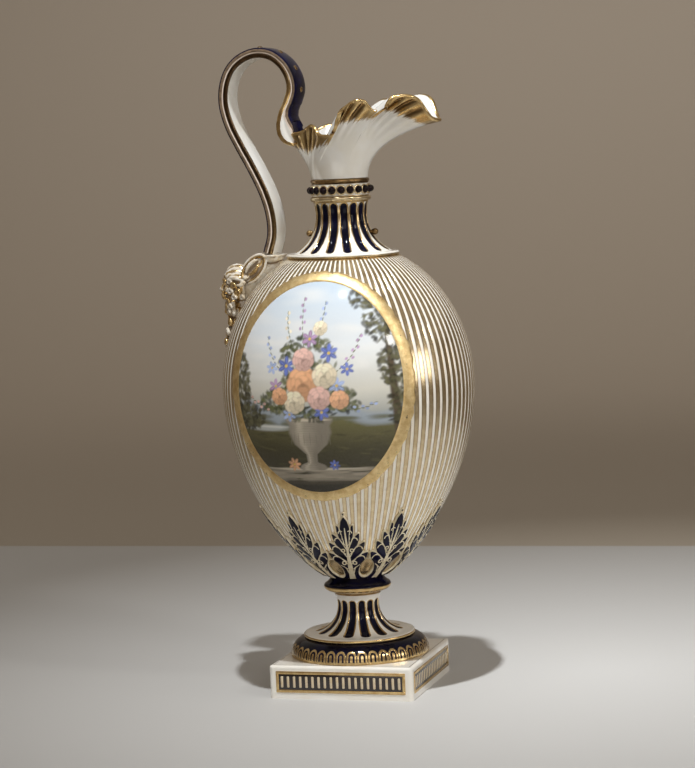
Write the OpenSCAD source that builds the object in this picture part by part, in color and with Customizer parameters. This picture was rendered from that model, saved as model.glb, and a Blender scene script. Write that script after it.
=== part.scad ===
// Pedestal ewer of glazed porcelain, in millimetres.
// X runs from the handle to the lip, Y from the front to the back and Z up from the table.
// The porcelain pieces are stacked face to face, and a bolt holds the body on its foot.

/* [Plinth] */
// Side of the square plinth
plinth_side = 76; // [64:1:100]
// Height of the plinth
plinth_h = 17.2; // [12:0.2:30]
// Rounding of its upright corners
plinth_round = 2; // [0.5:0.5:6]
// Rounding of its top edges
plinth_edge = 1.5; // [0.5:0.5:3]
// Wall of the hollow plinth
plinth_wall = 5; // [3:0.5:8]
// Thickness of its top
plinth_top_t = 5; // [3:0.5:8]

/* [Foot] */
// Radius of the round moulding on the plinth
torus_r = 36; // [32:0.5:37]
// Height of the moulding
torus_h = 9.4; // [7:0.2:14]
// Height of the plain edge under its swell
torus_edge_h = 1.2; // [0.6:0.2:3]
// Radius of its swell
torus_swell = 8.3; // [6:0.1:10]
// Radius of the hollow under the foot
foot_hollow_r = 16; // [14:0.5:22]
// Radius of the trumpet's rim
stem_rim_r = 29; // [27:0.5:31]
// Thickness of the trumpet's rim
stem_rim_t = 2.3; // [1.6:0.1:3]
// Radius of the trumpet's waist
stem_waist_r = 10.8; // [9:0.2:14]
// Radius of the hollow curve of the trumpet
stem_cove = 14; // [12:0.5:15.5]
// Height of the trumpet above its waist
stem_rise = 6; // [4:0.5:9]
// Number of flutes round the trumpet
stem_flutes = 14; // [8:1:16]
// Radius of a flute's section on the trumpet
stem_flute_r = 1.6; // [1.2:0.1:2]
// Depth of a flute on the trumpet
stem_flute_d = 0.7; // [0.3:0.1:1]
// Radius of the recess that the nut is tightened in
recess_r = 13; // [11.5:0.5:14]
// Height of that recess
recess_h = 4; // [3.5:0.1:4.6]

/* [Knop] */
// Radius of the knop
knop_r = 17.5; // [15:0.5:22]
// Height of the knop
knop_h = 9.2; // [7:0.2:14]
// Rounding of its edge
knop_edge = 1.9; // [1:0.1:2.6]
// Height of its edge above the trumpet
knop_edge_z = 4; // [3:0.2:5]

/* [Body] */
// Radius of the body's seat on the knop
body_seat_r = 13.4; // [11:0.2:14.5]
// Largest radius of the body
body_r = 65.3; // [55:0.5:75]
// Height of the widest place above the seat
body_wide_h = 99; // [80:1:120]
// Height of the shoulder above the widest place
body_top_h = 67; // [55:1:80]
// Radius of the shoulder's top
body_mouth_r = 28.8; // [26.5:0.2:32]
// Wall of the body
body_wall = 3.6; // [2.5:0.1:5]
// Thickness of the floor that the bolt goes through
body_floor_t = 6; // [4:0.5:9]

/* [Leaves] */
// Number of raised leaves round the body's foot
leaf_n = 10; // [6:1:11]
// Turn of the first leaf from the front
leaf_turn = 10; // [0:1:36]
// Height of a leaf
leaf_h = 38; // [30:1:44]
// Half of a leaf's width
leaf_half_w = 9.4; // [7:0.2:10]
// Thickness of a leaf
leaf_t = 1.2; // [0.8:0.1:2]
// Height of a leaf's stalk above the body's seat
leaf_z = 2.6; // [1.5:0.1:5]

/* [Neck] */
// Radius of the gilt ring under the neck
ring_r = 29.2; // [28:0.2:32]
// Height of the ring
ring_h = 2.2; // [1.4:0.1:3]
// Radius of the neck at the ring
neck_foot_r = 25.6; // [22:0.2:27]
// Radius of the neck's waist
neck_waist_r = 13.15; // [11:0.1:16]
// Radius of the neck's hollow curve
neck_cove = 21.3; // [18:0.1:24]
// Height of the neck above its waist
neck_rise = 7; // [4:0.5:9]
// Wall of the neck
neck_wall = 3.4; // [2.6:0.1:4.4]
// Number of flutes round the neck
neck_flutes = 16; // [10:1:18]
// Radius of a flute's section on the neck
neck_flute_r = 1.9; // [1.4:0.1:2.1]
// Depth of a flute on the neck
neck_flute_d = 0.9; // [0.4:0.1:1.2]
// Radius of a ball stud at the neck's side
knob_r = 1.7; // [1.2:0.1:2.4]
// Distance of the stud's ball from the neck's axis
knob_out = 17.6; // [17:0.1:20]
// Radius of the stud's pin
knob_pin_r = 0.9; // [0.6:0.1:1.1]
// Distance of the pin's end from the neck's axis
knob_seat = 13.4; // [12.8:0.1:14]
// Distance of the studs below the waist
knob_drop = 9.4; // [7:0.2:11]

/* [Collar] */
// Height of the collar
collar_h = 11.4; // [9.5:0.1:15]
// Radius between the collar's fillets
collar_core_r = 14.7; // [14.4:0.1:16]
// Radius of the lower fillet
collar_low_r = 15.7; // [15:0.1:17]
// Radius of the upper fillet
collar_top_r = 15.2; // [15:0.1:17]
// Height of each fillet
collar_fillet_h = 2.4; // [1.5:0.1:3]
// Number of jewels
bead_n = 20; // [14:1:22]
// Radius of a jewel
bead_r = 2.05; // [1.5:0.05:2.2]
// Distance of a jewel's centre outside the collar's core
bead_out = 1.5; // [0.8:0.1:1.9]

/* [Lip] */
// Radius of the spout at the collar
spout_r = 14.6; // [14:0.1:15]
// Reach of the lip's tip from the axis
lip_reach = 54.5; // [44:0.5:66]
// Half of the lip's width
lip_half_w = 27; // [22:0.5:33]
// Height of the highest frill above the collar
lip_h = 41; // [35:0.5:48]
// Distance of the flat seat for the handle behind the axis
lip_back = 24; // [22:0.2:25.5]
// Wall of the spout at the collar
spout_wall = 3; // [2:0.1:4]
// Wall of the spout at the rim
rim_wall = 1.8; // [1.2:0.1:2.6]

/* [Handle] */
// Width of the strap
strap_w = 17; // [12:0.5:22]
// Thickness of the strap
strap_t = 5.4; // [4:0.2:7]
// Height of the handle over its bracket
handle_h = 105; // [98:0.5:112]
// Reach of the strap's middle from the axis
handle_reach = 58.4; // [56:0.2:66]
// Height of the strap's end on the spout's seat
handle_end_h = 9; // [6:0.2:11]
// Radius of a gilt stud on the strap's back
husk_r = 1.3; // [0.8:0.1:2.6]

/* [Mask] */
// Height of the bracket's top above the shoulder
bracket_rise = 3; // [2:0.2:6]
// Width of the bracket
bracket_w = 18; // [17:0.5:24]
// Distance of the head's middle outside the body
mask_out = 10.9; // [9:0.1:13]
// Distance of the head's middle below the shoulder
mask_drop = 13; // [11:0.5:16]
// Radius of the head
mask_r = 10.5; // [9:0.2:12]
// Radius of a leaf volute at the bracket's side
volute_r = 6.2; // [5:0.2:8]
// Thickness of a volute
volute_t = 2.4; // [1.5:0.1:4]
// Distance of the mask's lower end below the shoulder
mask_end = 26; // [25:0.5:28]
// Radius of the largest husk of the pendant
drop_r = 6; // [5:0.2:7]
// Distance of a husk's middle outside the body
drop_out = 4.4; // [2:0.2:5]
// Step from husk to husk
drop_step = 5.6; // [4.5:0.1:6]

/* [Bolt] */
// Radius of the bolt
bolt_r = 3; // [2:0.1:4]
// Width of the bolt's head and nut across flats
hex_af = 10; // [8:0.5:13]
// Height of the bolt's head
head_h = 4; // [3:0.5:6]
// Height of the nut
nut_h = 5; // [3:0.5:6]
// Length of bolt below the nut
bolt_tail = 2; // [0.5:0.5:4]
// Radius of a steel washer
washer_r = 9; // [7.5:0.5:10]
// Thickness of a steel washer
washer_t = 1.5; // [0.8:0.1:2.5]
// Radius of a cork cushion
cushion_r = 10; // [8:0.5:11]
// Thickness of a cork cushion
cushion_t = 1.5; // [1:0.1:2.5]
// Clearance of the bolt in porcelain, cork and washers
bolt_clear = 0.5; // [0.2:0.1:1]
// Clearance of the nut on the bolt
thread_clear = 0.1; // [0.05:0.05:0.3]

/* [Hidden] */
$fn = 64;
far = 200;

// Heights of the faces where the pieces meet
torus_z = plinth_h;
stem_z = torus_z + torus_h;
stem_waist_z = stem_z + stem_rim_t + stem_cove;
knop_z = stem_waist_z + stem_rise;
body_z = knop_z + knop_h;
wide_z = body_z + body_wide_h;
shoulder_z = wide_z + body_top_h;
neck_z = shoulder_z + ring_h;
neck_mid_r = neck_waist_r + neck_cove;
neck_drop = sqrt(neck_cove ^ 2 - (neck_mid_r - neck_foot_r) ^ 2);
neck_waist_z = neck_z + neck_drop;
collar_z = neck_waist_z + neck_rise;
bead_z = collar_z + collar_h / 2;
spout_z = collar_z + collar_h;
bracket_z = shoulder_z + bracket_rise;
bolt_hole_r = bolt_r + bolt_clear;

// Inner radius of the neck at a height above its waist
function neck_bore(dz) = neck_mid_r - sqrt((neck_cove + neck_wall) ^ 2 - dz ^ 2);
neck_foot_bore = neck_bore(-neck_drop);
collar_bore = neck_bore(neck_rise);
stem_top_r = stem_waist_r + stem_cove - sqrt(stem_cove ^ 2 - stem_rise ^ 2);

// Points of a cubic curve and of a smooth curve through given points
function bezier(a, b, c, d, t) =
  a * (1 - t) ^ 3 + b * 3 * t * (1 - t) ^ 2 + c * 3 * t ^ 2 * (1 - t) + d * t ^ 3;
function smooth(a, b, c, d, t) =
  (b * 2 + (c - a) * t + (a * 2 - b * 5 + c * 4 - d) * t ^ 2 + (b * 3 - a - c * 3 + d) * t ^ 3) / 2;
function unit(v) = v / norm(v);

// The body's outline: a long curve up to the widest place, then part of an ellipse
low_steps = 22;
top_steps = 16;
top_axis = body_top_h / sqrt(1 - (body_mouth_r / body_r) ^ 2);
top_angle = asin(body_top_h / top_axis);
low_side = [for (i = [0 : low_steps])
  bezier([body_seat_r, body_z], [body_seat_r + body_r * 0.25, body_z + body_wide_h * 0.073],
         [body_r, wide_z - body_wide_h * 0.495], [body_r, wide_z], i / low_steps)];
top_side = [for (i = [1 : top_steps])
  let (a = top_angle * i / top_steps)
  [body_r * cos(a), wide_z + top_axis * sin(a)]];
body_side = concat(low_side, top_side);

// A line of points moved square to itself, to its left if the distance is positive
function moved(line, d) = [for (i = [0 : len(line) - 1])
  let (u = unit(line[min(i + 1, len(line) - 1)] - line[max(i - 1, 0)]))
  line[i] + d * [-u[1], u[0]]];

module body_solid() {
  rotate_extrude() polygon(concat([[0, body_z]], body_side, [[0, shoulder_z]]));
}

// A round-bottomed groove along a hollow curve of revolution
module flute(mid_r, mid_z, cove, r, depth, up, down) {
  run = cove - r + depth;
  translate([mid_r, 0, mid_z]) rotate([90, 0, 0]) rotate([0, 0, 180 - up])
    rotate_extrude(angle = up + down) translate([run, 0]) circle(r);
}

module ring(inner, outer, z, h) {
  translate([0, 0, z]) difference() {
    cylinder(r = outer, h = h);
    translate([0, 0, -1]) cylinder(r = inner, h = h + 2);
  }
}

// Plan and side views of the plinth
module plinth_plan(side, round) {
  for (x = [-1, 1], y = [-1, 1]) translate([x, y] * (side / 2 - round)) circle(round);
  square([side, side - 2 * round], center = true);
  square([side - 2 * round, side], center = true);
}

module plinth_side_view() {
  translate([-plinth_side / 2, 0]) square([plinth_side, plinth_h - plinth_edge]);
  translate([-plinth_side / 2 + plinth_edge, 0]) square([plinth_side - 2 * plinth_edge, plinth_h]);
  for (x = [-1, 1]) translate([x * (plinth_side / 2 - plinth_edge), plinth_h - plinth_edge])
    circle(plinth_edge);
}

module plinth() {
  color("gainsboro") difference() {
    intersection() {
      linear_extrude(plinth_h) plinth_plan(plinth_side, plinth_round);
      rotate([90, 0, 0]) translate([0, 0, -plinth_side])
        linear_extrude(2 * plinth_side) plinth_side_view();
      rotate([0, 0, 90]) rotate([90, 0, 0]) translate([0, 0, -plinth_side])
        linear_extrude(2 * plinth_side) plinth_side_view();
    }
    translate([0, 0, -1]) linear_extrude(plinth_h - plinth_top_t + 1)
      square(plinth_side - 2 * plinth_wall, center = true);
    cylinder(r = foot_hollow_r, h = plinth_h + 1);
  }
}

module foot_torus() {
  swell_r = torus_r - torus_swell;
  color("midnightblue") rotate_extrude() difference() {
    union() {
      translate([0, torus_z]) square([torus_r, torus_edge_h]);
      translate([0, torus_z]) square([swell_r, torus_h]);
      intersection() {
        translate([swell_r, torus_z + torus_edge_h]) circle(torus_swell);
        translate([0, torus_z + torus_edge_h]) square([torus_r, torus_h - torus_edge_h]);
      }
    }
    translate([0, torus_z - 1]) square([foot_hollow_r, torus_h + 2]);
  }
}

module foot_stem() {
  mid_r = stem_waist_r + stem_cove;
  color("ivory") difference() {
    rotate_extrude() difference() {
      union() {
        translate([0, stem_z]) square([stem_rim_r - stem_rim_t / 2, stem_rim_t]);
        translate([stem_rim_r - stem_rim_t / 2, stem_z + stem_rim_t / 2]) circle(stem_rim_t / 2);
        difference() {
          translate([0, stem_z]) square([mid_r, knop_z - stem_z]);
          translate([mid_r, stem_waist_z]) circle(stem_cove);
        }
      }
      translate([0, stem_z - 1]) square([recess_r, recess_h + 1]);
      translate([0, stem_z]) square([bolt_hole_r, knop_z]);
    }
    for (i = [0 : stem_flutes - 1]) rotate([0, 0, (i + 0.5) * 360 / stem_flutes])
      flute(mid_r, stem_waist_z, stem_cove, stem_flute_r, stem_flute_d, 13, 74);
  }
}

module stem_knop() {
  color("navy") rotate_extrude() difference() {
    union() {
      polygon([[0, knop_z], [stem_top_r, knop_z],
               [knop_r - knop_edge * 0.6, knop_z + knop_edge_z - knop_edge * 0.92],
               [knop_r - knop_edge * 0.6, knop_z + knop_edge_z + knop_edge * 0.92],
               [body_seat_r, body_z], [0, body_z]]);
      translate([knop_r - knop_edge, knop_z + knop_edge_z]) circle(knop_edge);
    }
    translate([0, knop_z - 1]) square([bolt_hole_r, knop_h + 2]);
  }
}

module body() {
  color("gold") rotate_extrude() difference() {
    polygon(concat([[0, body_z]], body_side, [[0, shoulder_z]]));
    intersection() {
      polygon(concat([[0, body_z]], moved(body_side, body_wall), [[0, shoulder_z - body_wall]]));
      translate([0, body_z + body_floor_t]) square([far, far]);
    }
    translate([0, shoulder_z - 3 * body_wall]) square([neck_foot_bore, 4 * body_wall]);
    translate([0, body_z - 1]) square([bolt_hole_r, body_floor_t + 2]);
  }
}

// One side of a leaf's outline, in shares of its half width and height
leaf_edge = [[0.34, 0], [0.5, 0.16], [0.98, 0.33], [1, 0.43], [0.6, 0.44], [0.94, 0.62],
             [0.86, 0.66], [0.44, 0.61], [0.58, 0.83], [0.48, 0.84], [0.24, 0.78], [0.16, 0.93]];
leaf_outline = concat(
  [for (p = leaf_edge) [p[0] * leaf_half_w, body_z + leaf_z + p[1] * leaf_h]],
  [[0, body_z + leaf_z + leaf_h]],
  [for (i = [len(leaf_edge) - 1 : -1 : 0])
    [-leaf_edge[i][0] * leaf_half_w, body_z + leaf_z + leaf_edge[i][1] * leaf_h]]);

module acanthus_leaves() {
  color("mediumblue") for (i = [0 : leaf_n - 1]) rotate([0, 0, leaf_turn + i * 360 / leaf_n])
    intersection() {
      rotate_extrude() polygon(concat(low_side, [for (i = [low_steps : -1 : 0])
        moved(low_side, -leaf_t)[i]]));
      rotate([90, 0, 0]) linear_extrude(body_r + leaf_t) polygon(leaf_outline);
    }
}

module shoulder_ring() {
  color("goldenrod") rotate_extrude() {
    translate([neck_foot_bore, shoulder_z]) square([ring_r - ring_h / 2 - neck_foot_bore, ring_h]);
    translate([ring_r - ring_h / 2, shoulder_z + ring_h / 2]) circle(ring_h / 2);
  }
}

module neck() {
  low = asin((neck_drop - neck_flute_r - 1.2) / neck_cove);
  color("ivory") difference() {
    rotate_extrude() intersection() {
      difference() {
        translate([neck_mid_r, neck_waist_z]) circle(neck_cove + neck_wall);
        translate([neck_mid_r, neck_waist_z]) circle(neck_cove);
      }
      translate([0, neck_z]) square([neck_mid_r, neck_drop + neck_rise]);
    }
    for (i = [0 : neck_flutes - 1]) rotate([0, 0, i * 360 / neck_flutes])
      flute(neck_mid_r, neck_waist_z, neck_cove, neck_flute_r, neck_flute_d, 12, low);
    for (a = [0, 180]) rotate([0, 0, a]) translate([knob_seat, 0, neck_waist_z - knob_drop])
      rotate([0, 90, 0]) cylinder(r = knob_pin_r, h = neck_cove);
  }
}

module neck_knobs() {
  color("saddlebrown") for (a = [0, 180]) rotate([0, 0, a])
    translate([knob_seat, 0, neck_waist_z - knob_drop]) {
      rotate([0, 90, 0]) cylinder(r = knob_pin_r, h = knob_out - knob_seat);
      translate([knob_out - knob_seat, 0, 0]) sphere(knob_r);
    }
}

module collar() {
  color("darkgoldenrod") rotate_extrude() {
    translate([collar_bore, collar_z]) square([collar_core_r - collar_bore, collar_h]);
    translate([collar_bore, collar_z]) square([collar_low_r - collar_bore, collar_fillet_h]);
    translate([collar_bore, spout_z - collar_fillet_h])
      square([collar_top_r - collar_bore, collar_fillet_h]);
  }
}

module collar_beads() {
  color("midnightblue") for (i = [0 : bead_n - 1]) rotate([0, 0, i * 360 / bead_n])
    difference() {
      translate([collar_core_r + bead_out, 0, bead_z]) sphere(bead_r);
      translate([0, 0, collar_z]) cylinder(r = collar_core_r, h = collar_h);
    }
}

// The frilled rim from the tip round the front to the back: along, out and up,
// in shares of the lip's reach, half width and height
rim_half = [[1, 0, 0.7], [0.97, 0.19, 0.79], [0.92, 0.35, 0.87], [0.835, 0.54, 0.93],
            [0.715, 0.68, 0.955], [0.63, 0.72, 0.91], [0.58, 0.7, 0.83], [0.5, 0.72, 0.81],
            [0.44, 0.79, 0.84], [0.4, 0.93, 0.93], [0.31, 1, 0.91], [0.195, 0.95, 0.79],
            [0.136, 0.86, 0.65], [0.037, 0.81, 0.55], [-0.064, 0.76, 0.57], [-0.174, 0.63, 0.68],
            [-0.303, 0.44, 0.65], [-0.42, 0.3, 0.58], [-0.49, 0, 0.56]];
rim_n = 2 * len(rim_half) - 2;
rim = [for (i = [0 : rim_n - 1])
  let (p = rim_half[min(i, rim_n - i)])
  [p[0] * lip_reach, (i < rim_n / 2 ? -p[1] : p[1]) * lip_half_w, p[2] * lip_h]];
rim_steps = 3;
round_n = rim_n * rim_steps;
rise_n = 10;

function rim_point(j) =
  let (i = floor(j / rim_steps))
  smooth(rim[(i + rim_n - 1) % rim_n], rim[i], rim[(i + 1) % rim_n], rim[(i + 2) % rim_n],
         j / rim_steps - i);

// A point of the spout's outside: j goes round it, t from the collar to the rim.
// The front rises steeply and then runs out flat, the back leans out evenly.
function spout_point(j, t) =
  let (a = j * 360 / round_n, lean = (1 - cos(a)) / 2, b = spout_r * [cos(a), -sin(a), 0])
  let (d = rim_point(j), run = [d[0], d[1], 0] - b, rise = [0, 0, d[2]])
  bezier(b, b * (1 + 0.1 * lean) + rise * 0.39, b + run * (0.28 + 0.37 * lean)
         + rise * (0.81 - 0.17 * lean), d, t);

spout_grid = [for (k = [0 : rise_n]) [for (j = [0 : round_n - 1]) spout_point(j, k / rise_n)]];

// The same place on the inside, a wall's thickness away
function spout_inner(k, j) =
  let (t = k / rise_n, wall = spout_wall + (rim_wall - spout_wall) * t, p = spout_grid[k][j])
  let (across = spout_grid[k][(j + 1) % round_n] - spout_grid[k][(j + round_n - 1) % round_n])
  let (along = spout_grid[min(k + 1, rise_n)][j] - spout_grid[max(k - 1, 0)][j])
  k == 0 ? p * (1 - spout_wall / spout_r) : p + wall * unit(cross(across, along));

// Points behind the flat seat for the handle are brought forward to it
function seated(p, x) = [max(p[0], x), p[1], p[2]];

spout_points = concat(
  [for (k = [0 : rise_n], j = [0 : round_n - 1]) seated(spout_grid[k][j], -lip_back)],
  [for (k = [0 : rise_n], j = [0 : round_n - 1])
    seated(spout_inner(k, j), -lip_back + spout_wall)]);
spout_faces = concat(
  [for (k = [0 : rise_n - 1], j = [0 : round_n - 1])
    let (a = k * round_n + j, b = k * round_n + (j + 1) % round_n) each
    [[a, b, b + round_n], [a, b + round_n, a + round_n]]],
  [for (k = [0 : rise_n - 1], j = [0 : round_n - 1])
    let (s = (rise_n + 1) * round_n, a = s + k * round_n + j, b = s + k * round_n + (j + 1) % round_n)
    each [[a, b + round_n, b], [a, a + round_n, b + round_n]]],
  [for (j = [0 : round_n - 1])
    let (s = (rise_n + 1) * round_n, e = (j + 1) % round_n) each
    [[j, s + e, e], [j, s + j, s + e]]],
  [for (j = [0 : round_n - 1])
    let (s = (rise_n + 1) * round_n, r = rise_n * round_n, a = r + j, b = r + (j + 1) % round_n)
    each [[a, b, s + b], [a, s + b, s + a]]]);

module spout() {
  color("white") translate([0, 0, spout_z]) polyhedron(spout_points, spout_faces, convexity = 8);
}

// The middle line of the strap, from the bracket over the top to the spout,
// in shares of the handle's reach and height
handle_line = [[-0.652, 0], [-0.608, 0.09], [-0.613, 0.19], [-0.665, 0.3], [-0.76, 0.42],
               [-0.865, 0.535], [-0.952, 0.64], [-1, 0.745], [-0.993, 0.835], [-0.94, 0.915],
               [-0.845, 0.97], [-0.71, 1], [-0.565, 0.992], [-0.45, 0.945], [-0.382, 0.877],
               [-0.368, 0.81], [-0.404, 0.747], [-0.445, 0.68], [-0.47, 0.635]];
strap_steps = 4;
strap_n = (len(handle_line) - 1) * strap_steps;

function handle_point(i) =
  let (p = handle_line[max(0, min(i, len(handle_line) - 1))])
  [p[0] * handle_reach, bracket_z + p[1] * (handle_h - strap_t / 2)];

strap_mid = [for (i = [0 : strap_n])
  let (k = min(floor(i / strap_steps), len(handle_line) - 2))
  smooth(handle_point(k - 1), handle_point(k), handle_point(k + 1), handle_point(k + 2),
         i / strap_steps - k)];
strap_outer = moved(strap_mid, strap_t / 2);
strap_inner = moved(strap_mid, -strap_t / 2);
handle_foot_x = strap_mid[0][0];

end_top_z = strap_outer[strap_n][1] - 0.1 * strap_t;
end_low_z = end_top_z - handle_end_h;

module strap_side() {
  polygon(concat(
    [[handle_foot_x - strap_t / 2, bracket_z]],
    [for (i = [1 : strap_n]) strap_outer[i]],
    [[-lip_back, end_top_z], [-lip_back, end_low_z],
     [-lip_back - strap_t * 0.6, end_low_z + handle_end_h * 0.2],
     [-lip_back - strap_t, end_low_z + handle_end_h * 0.6]],
    [for (i = [strap_n : -1 : 1]) strap_inner[i]],
    [[handle_foot_x + strap_t / 2, bracket_z]]));
}

module handle() {
  color("royalblue") rotate([90, 0, 0]) translate([0, 0, -strap_w / 2])
    linear_extrude(strap_w) strap_side();
}

module handle_husks() {
  color("gold") difference() {
    for (i = [1 : len(handle_line) - 3]) translate([strap_outer[i * strap_steps][0], 0,
      strap_outer[i * strap_steps][1]]) sphere(husk_r);
    handle();
  }
}

// Radius of the body at a height above its widest place
function body_at(z) = body_r * sqrt(1 - ((z - wide_z) / top_axis) ^ 2);

mask_z = shoulder_z - mask_drop;
mask_x = -body_at(mask_z) - mask_out;
mask_end_z = shoulder_z - mask_end;

// Side view of the face, from the brow to the chin, in shares of the head's radius
face_line = [[-0.2, 1], [-0.75, 0.86], [-0.98, 0.5], [-0.93, 0.3], [-1.26, -0.2], [-1.2, -0.36],
             [-0.98, -0.38], [-1.07, -0.5], [-0.96, -0.6], [-1.04, -0.72], [-0.92, -0.84],
             [-1, -1.04], [-0.7, -1.3], [-0.2, -1]];

module mask() {
  color("khaki") difference() {
    union() {
      rotate([90, 0, 0]) translate([0, 0, -bracket_w / 2]) linear_extrude(bracket_w)
        polygon([[handle_foot_x + strap_t, bracket_z], [handle_foot_x - strap_t, bracket_z],
                 [mask_x + mask_r * 0.2, mask_z + mask_r * 0.9],
                 [mask_x + mask_r * 0.4, mask_z - mask_r * 0.5], [mask_x / 2, mask_z]]);
      translate([mask_x, 0, mask_z]) {
        sphere(mask_r);
        rotate([90, 0, 0]) translate([0, 0, -mask_r * 0.22]) linear_extrude(mask_r * 0.44)
          polygon(mask_r * face_line);
        for (y = [-1, 1]) translate([-mask_r * 0.62, y * mask_r * 0.48, -mask_r * 0.42])
          sphere(mask_r * 0.4);
        translate([-mask_r * 0.55, 0, -mask_r * 1.02]) sphere(mask_r * 0.5);
        translate([mask_r * 0.1, 0, mask_r * 0.1]) rotate([0, -70, 0]) rotate_extrude()
          translate([mask_r * 0.95, 0]) circle(mask_r * 0.24);
      }
      for (y = [-1, 1]) translate([handle_foot_x - volute_r * 1.3, y * bracket_w / 2,
        mask_z + mask_r * 0.72]) rotate([90, 0, 0]) {
          cylinder(r = volute_r, h = volute_t, center = true);
          cylinder(r = volute_r * 0.4, h = volute_t * 2, center = true);
        }
    }
    body_solid();
    translate([-far, -far / 2, mask_end_z - far]) cube(far);
  }
}

module mask_pendant() {
  color("peru") difference() {
    for (i = [0 : 3]) translate([-body_at(mask_end_z - 3 - i * drop_step) - drop_out, 0,
      mask_end_z - 3 - i * drop_step]) sphere(drop_r - i * 0.8);
    body_solid();
    translate([-far, -far / 2, mask_end_z]) cube(far);
  }
}

// The bolt's stack, from the floor of the body and from the roof of the recess
floor_z = body_z + body_floor_t;
roof_z = stem_z + recess_h;
head_z = floor_z + cushion_t + washer_t;
nut_z = roof_z - cushion_t - washer_t - nut_h;
hex_r = hex_af / 2 / cos(30);

module tie_bolt() {
  color("dimgray") {
    translate([0, 0, nut_z - bolt_tail]) cylinder(r = bolt_r, h = head_z - nut_z + bolt_tail);
    translate([0, 0, head_z]) cylinder(r = hex_r, h = head_h, $fn = 6);
  }
}

module bolt_cushion() {
  color("burlywood") ring(bolt_hole_r, cushion_r, floor_z, cushion_t);
}

module bolt_washer() {
  color("silver") ring(bolt_hole_r, washer_r, floor_z + cushion_t, washer_t);
}

module nut_cushion() {
  color("tan") ring(bolt_hole_r, cushion_r, roof_z - cushion_t, cushion_t);
}

module nut_washer() {
  color("lightgray") ring(bolt_hole_r, washer_r, roof_z - cushion_t - washer_t, washer_t);
}

module nut() {
  color("gray") translate([0, 0, nut_z]) difference() {
    cylinder(r = hex_r, h = nut_h, $fn = 6);
    translate([0, 0, -1]) cylinder(r = bolt_r + thread_clear, h = nut_h + 2);
  }
}

plinth();
foot_torus();
foot_stem();
stem_knop();
body();
acanthus_leaves();
shoulder_ring();
neck();
neck_knobs();
collar();
collar_beads();
spout();
handle();
handle_husks();
mask();
mask_pendant();
tie_bolt();
bolt_washer();
bolt_cushion();
nut_cushion();
nut_washer();
nut();
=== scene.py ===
import math
import random

import bpy
import numpy as np
from mathutils import Matrix, Vector


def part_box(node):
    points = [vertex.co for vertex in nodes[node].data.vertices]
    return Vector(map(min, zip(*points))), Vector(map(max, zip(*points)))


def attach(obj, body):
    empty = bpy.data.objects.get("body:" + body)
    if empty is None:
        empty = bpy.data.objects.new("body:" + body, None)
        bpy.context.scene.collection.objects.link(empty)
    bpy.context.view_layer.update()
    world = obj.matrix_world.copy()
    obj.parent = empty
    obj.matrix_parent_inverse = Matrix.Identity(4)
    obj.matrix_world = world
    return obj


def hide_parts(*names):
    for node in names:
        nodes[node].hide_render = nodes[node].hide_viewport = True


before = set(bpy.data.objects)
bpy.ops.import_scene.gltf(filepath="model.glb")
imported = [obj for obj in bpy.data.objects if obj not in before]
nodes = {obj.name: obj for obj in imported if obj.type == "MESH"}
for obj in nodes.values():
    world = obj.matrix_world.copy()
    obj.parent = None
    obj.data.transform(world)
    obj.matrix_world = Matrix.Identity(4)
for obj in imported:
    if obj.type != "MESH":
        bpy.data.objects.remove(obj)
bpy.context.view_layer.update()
mm = 0.001
fullTurn = 2 * math.pi


def span(node):
    # a node's lowest and highest corners in millimetres
    low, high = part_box(node)
    return low / mm, high / mm


print("frame loaded")


# Node maths: a Wire is a socket's value, and sums or products of wires become Math nodes

class Wire:
    def __init__(self, paint, socket):
        self.paint = paint
        self.socket = socket

    def calc(self, operation, *others):
        values = dict(enumerate((self,) + others))
        return self.paint.node("Math", {"operation": operation}, values)

    def __add__(self, other):
        return self.calc("ADD", other)

    __radd__ = __add__

    def __mul__(self, other):
        return self.calc("MULTIPLY", other)

    __rmul__ = __mul__

    def __sub__(self, other):
        return self.calc("SUBTRACT", other)

    def __rsub__(self, other):
        return self.paint.node("Math", {"operation": "SUBTRACT"}, {0: other, 1: self})

    def __truediv__(self, other):
        return self.calc("DIVIDE", other)

    def most(self, other):
        return self.calc("MAXIMUM", other)

    def size(self):
        return self.calc("ABSOLUTE")

    def rise(self, start, end):
        # 0 below start, 1 above end, or the other way round if start is the larger
        return self.paint.node("MapRange", {"interpolation_type": "SMOOTHSTEP"},
                               {"Value": self, "From Min": start, "From Max": end})

    def band(self, low, high, soft):
        return self.rise(low - soft, low + soft) * (1 - self.rise(high - soft, high + soft))

    def repeat(self, count):
        # distance from the middle of the nearest of count equal steps, from -0.5 to 0.5
        return (self * count + 0.5).calc("FRACT") - 0.5


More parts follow.
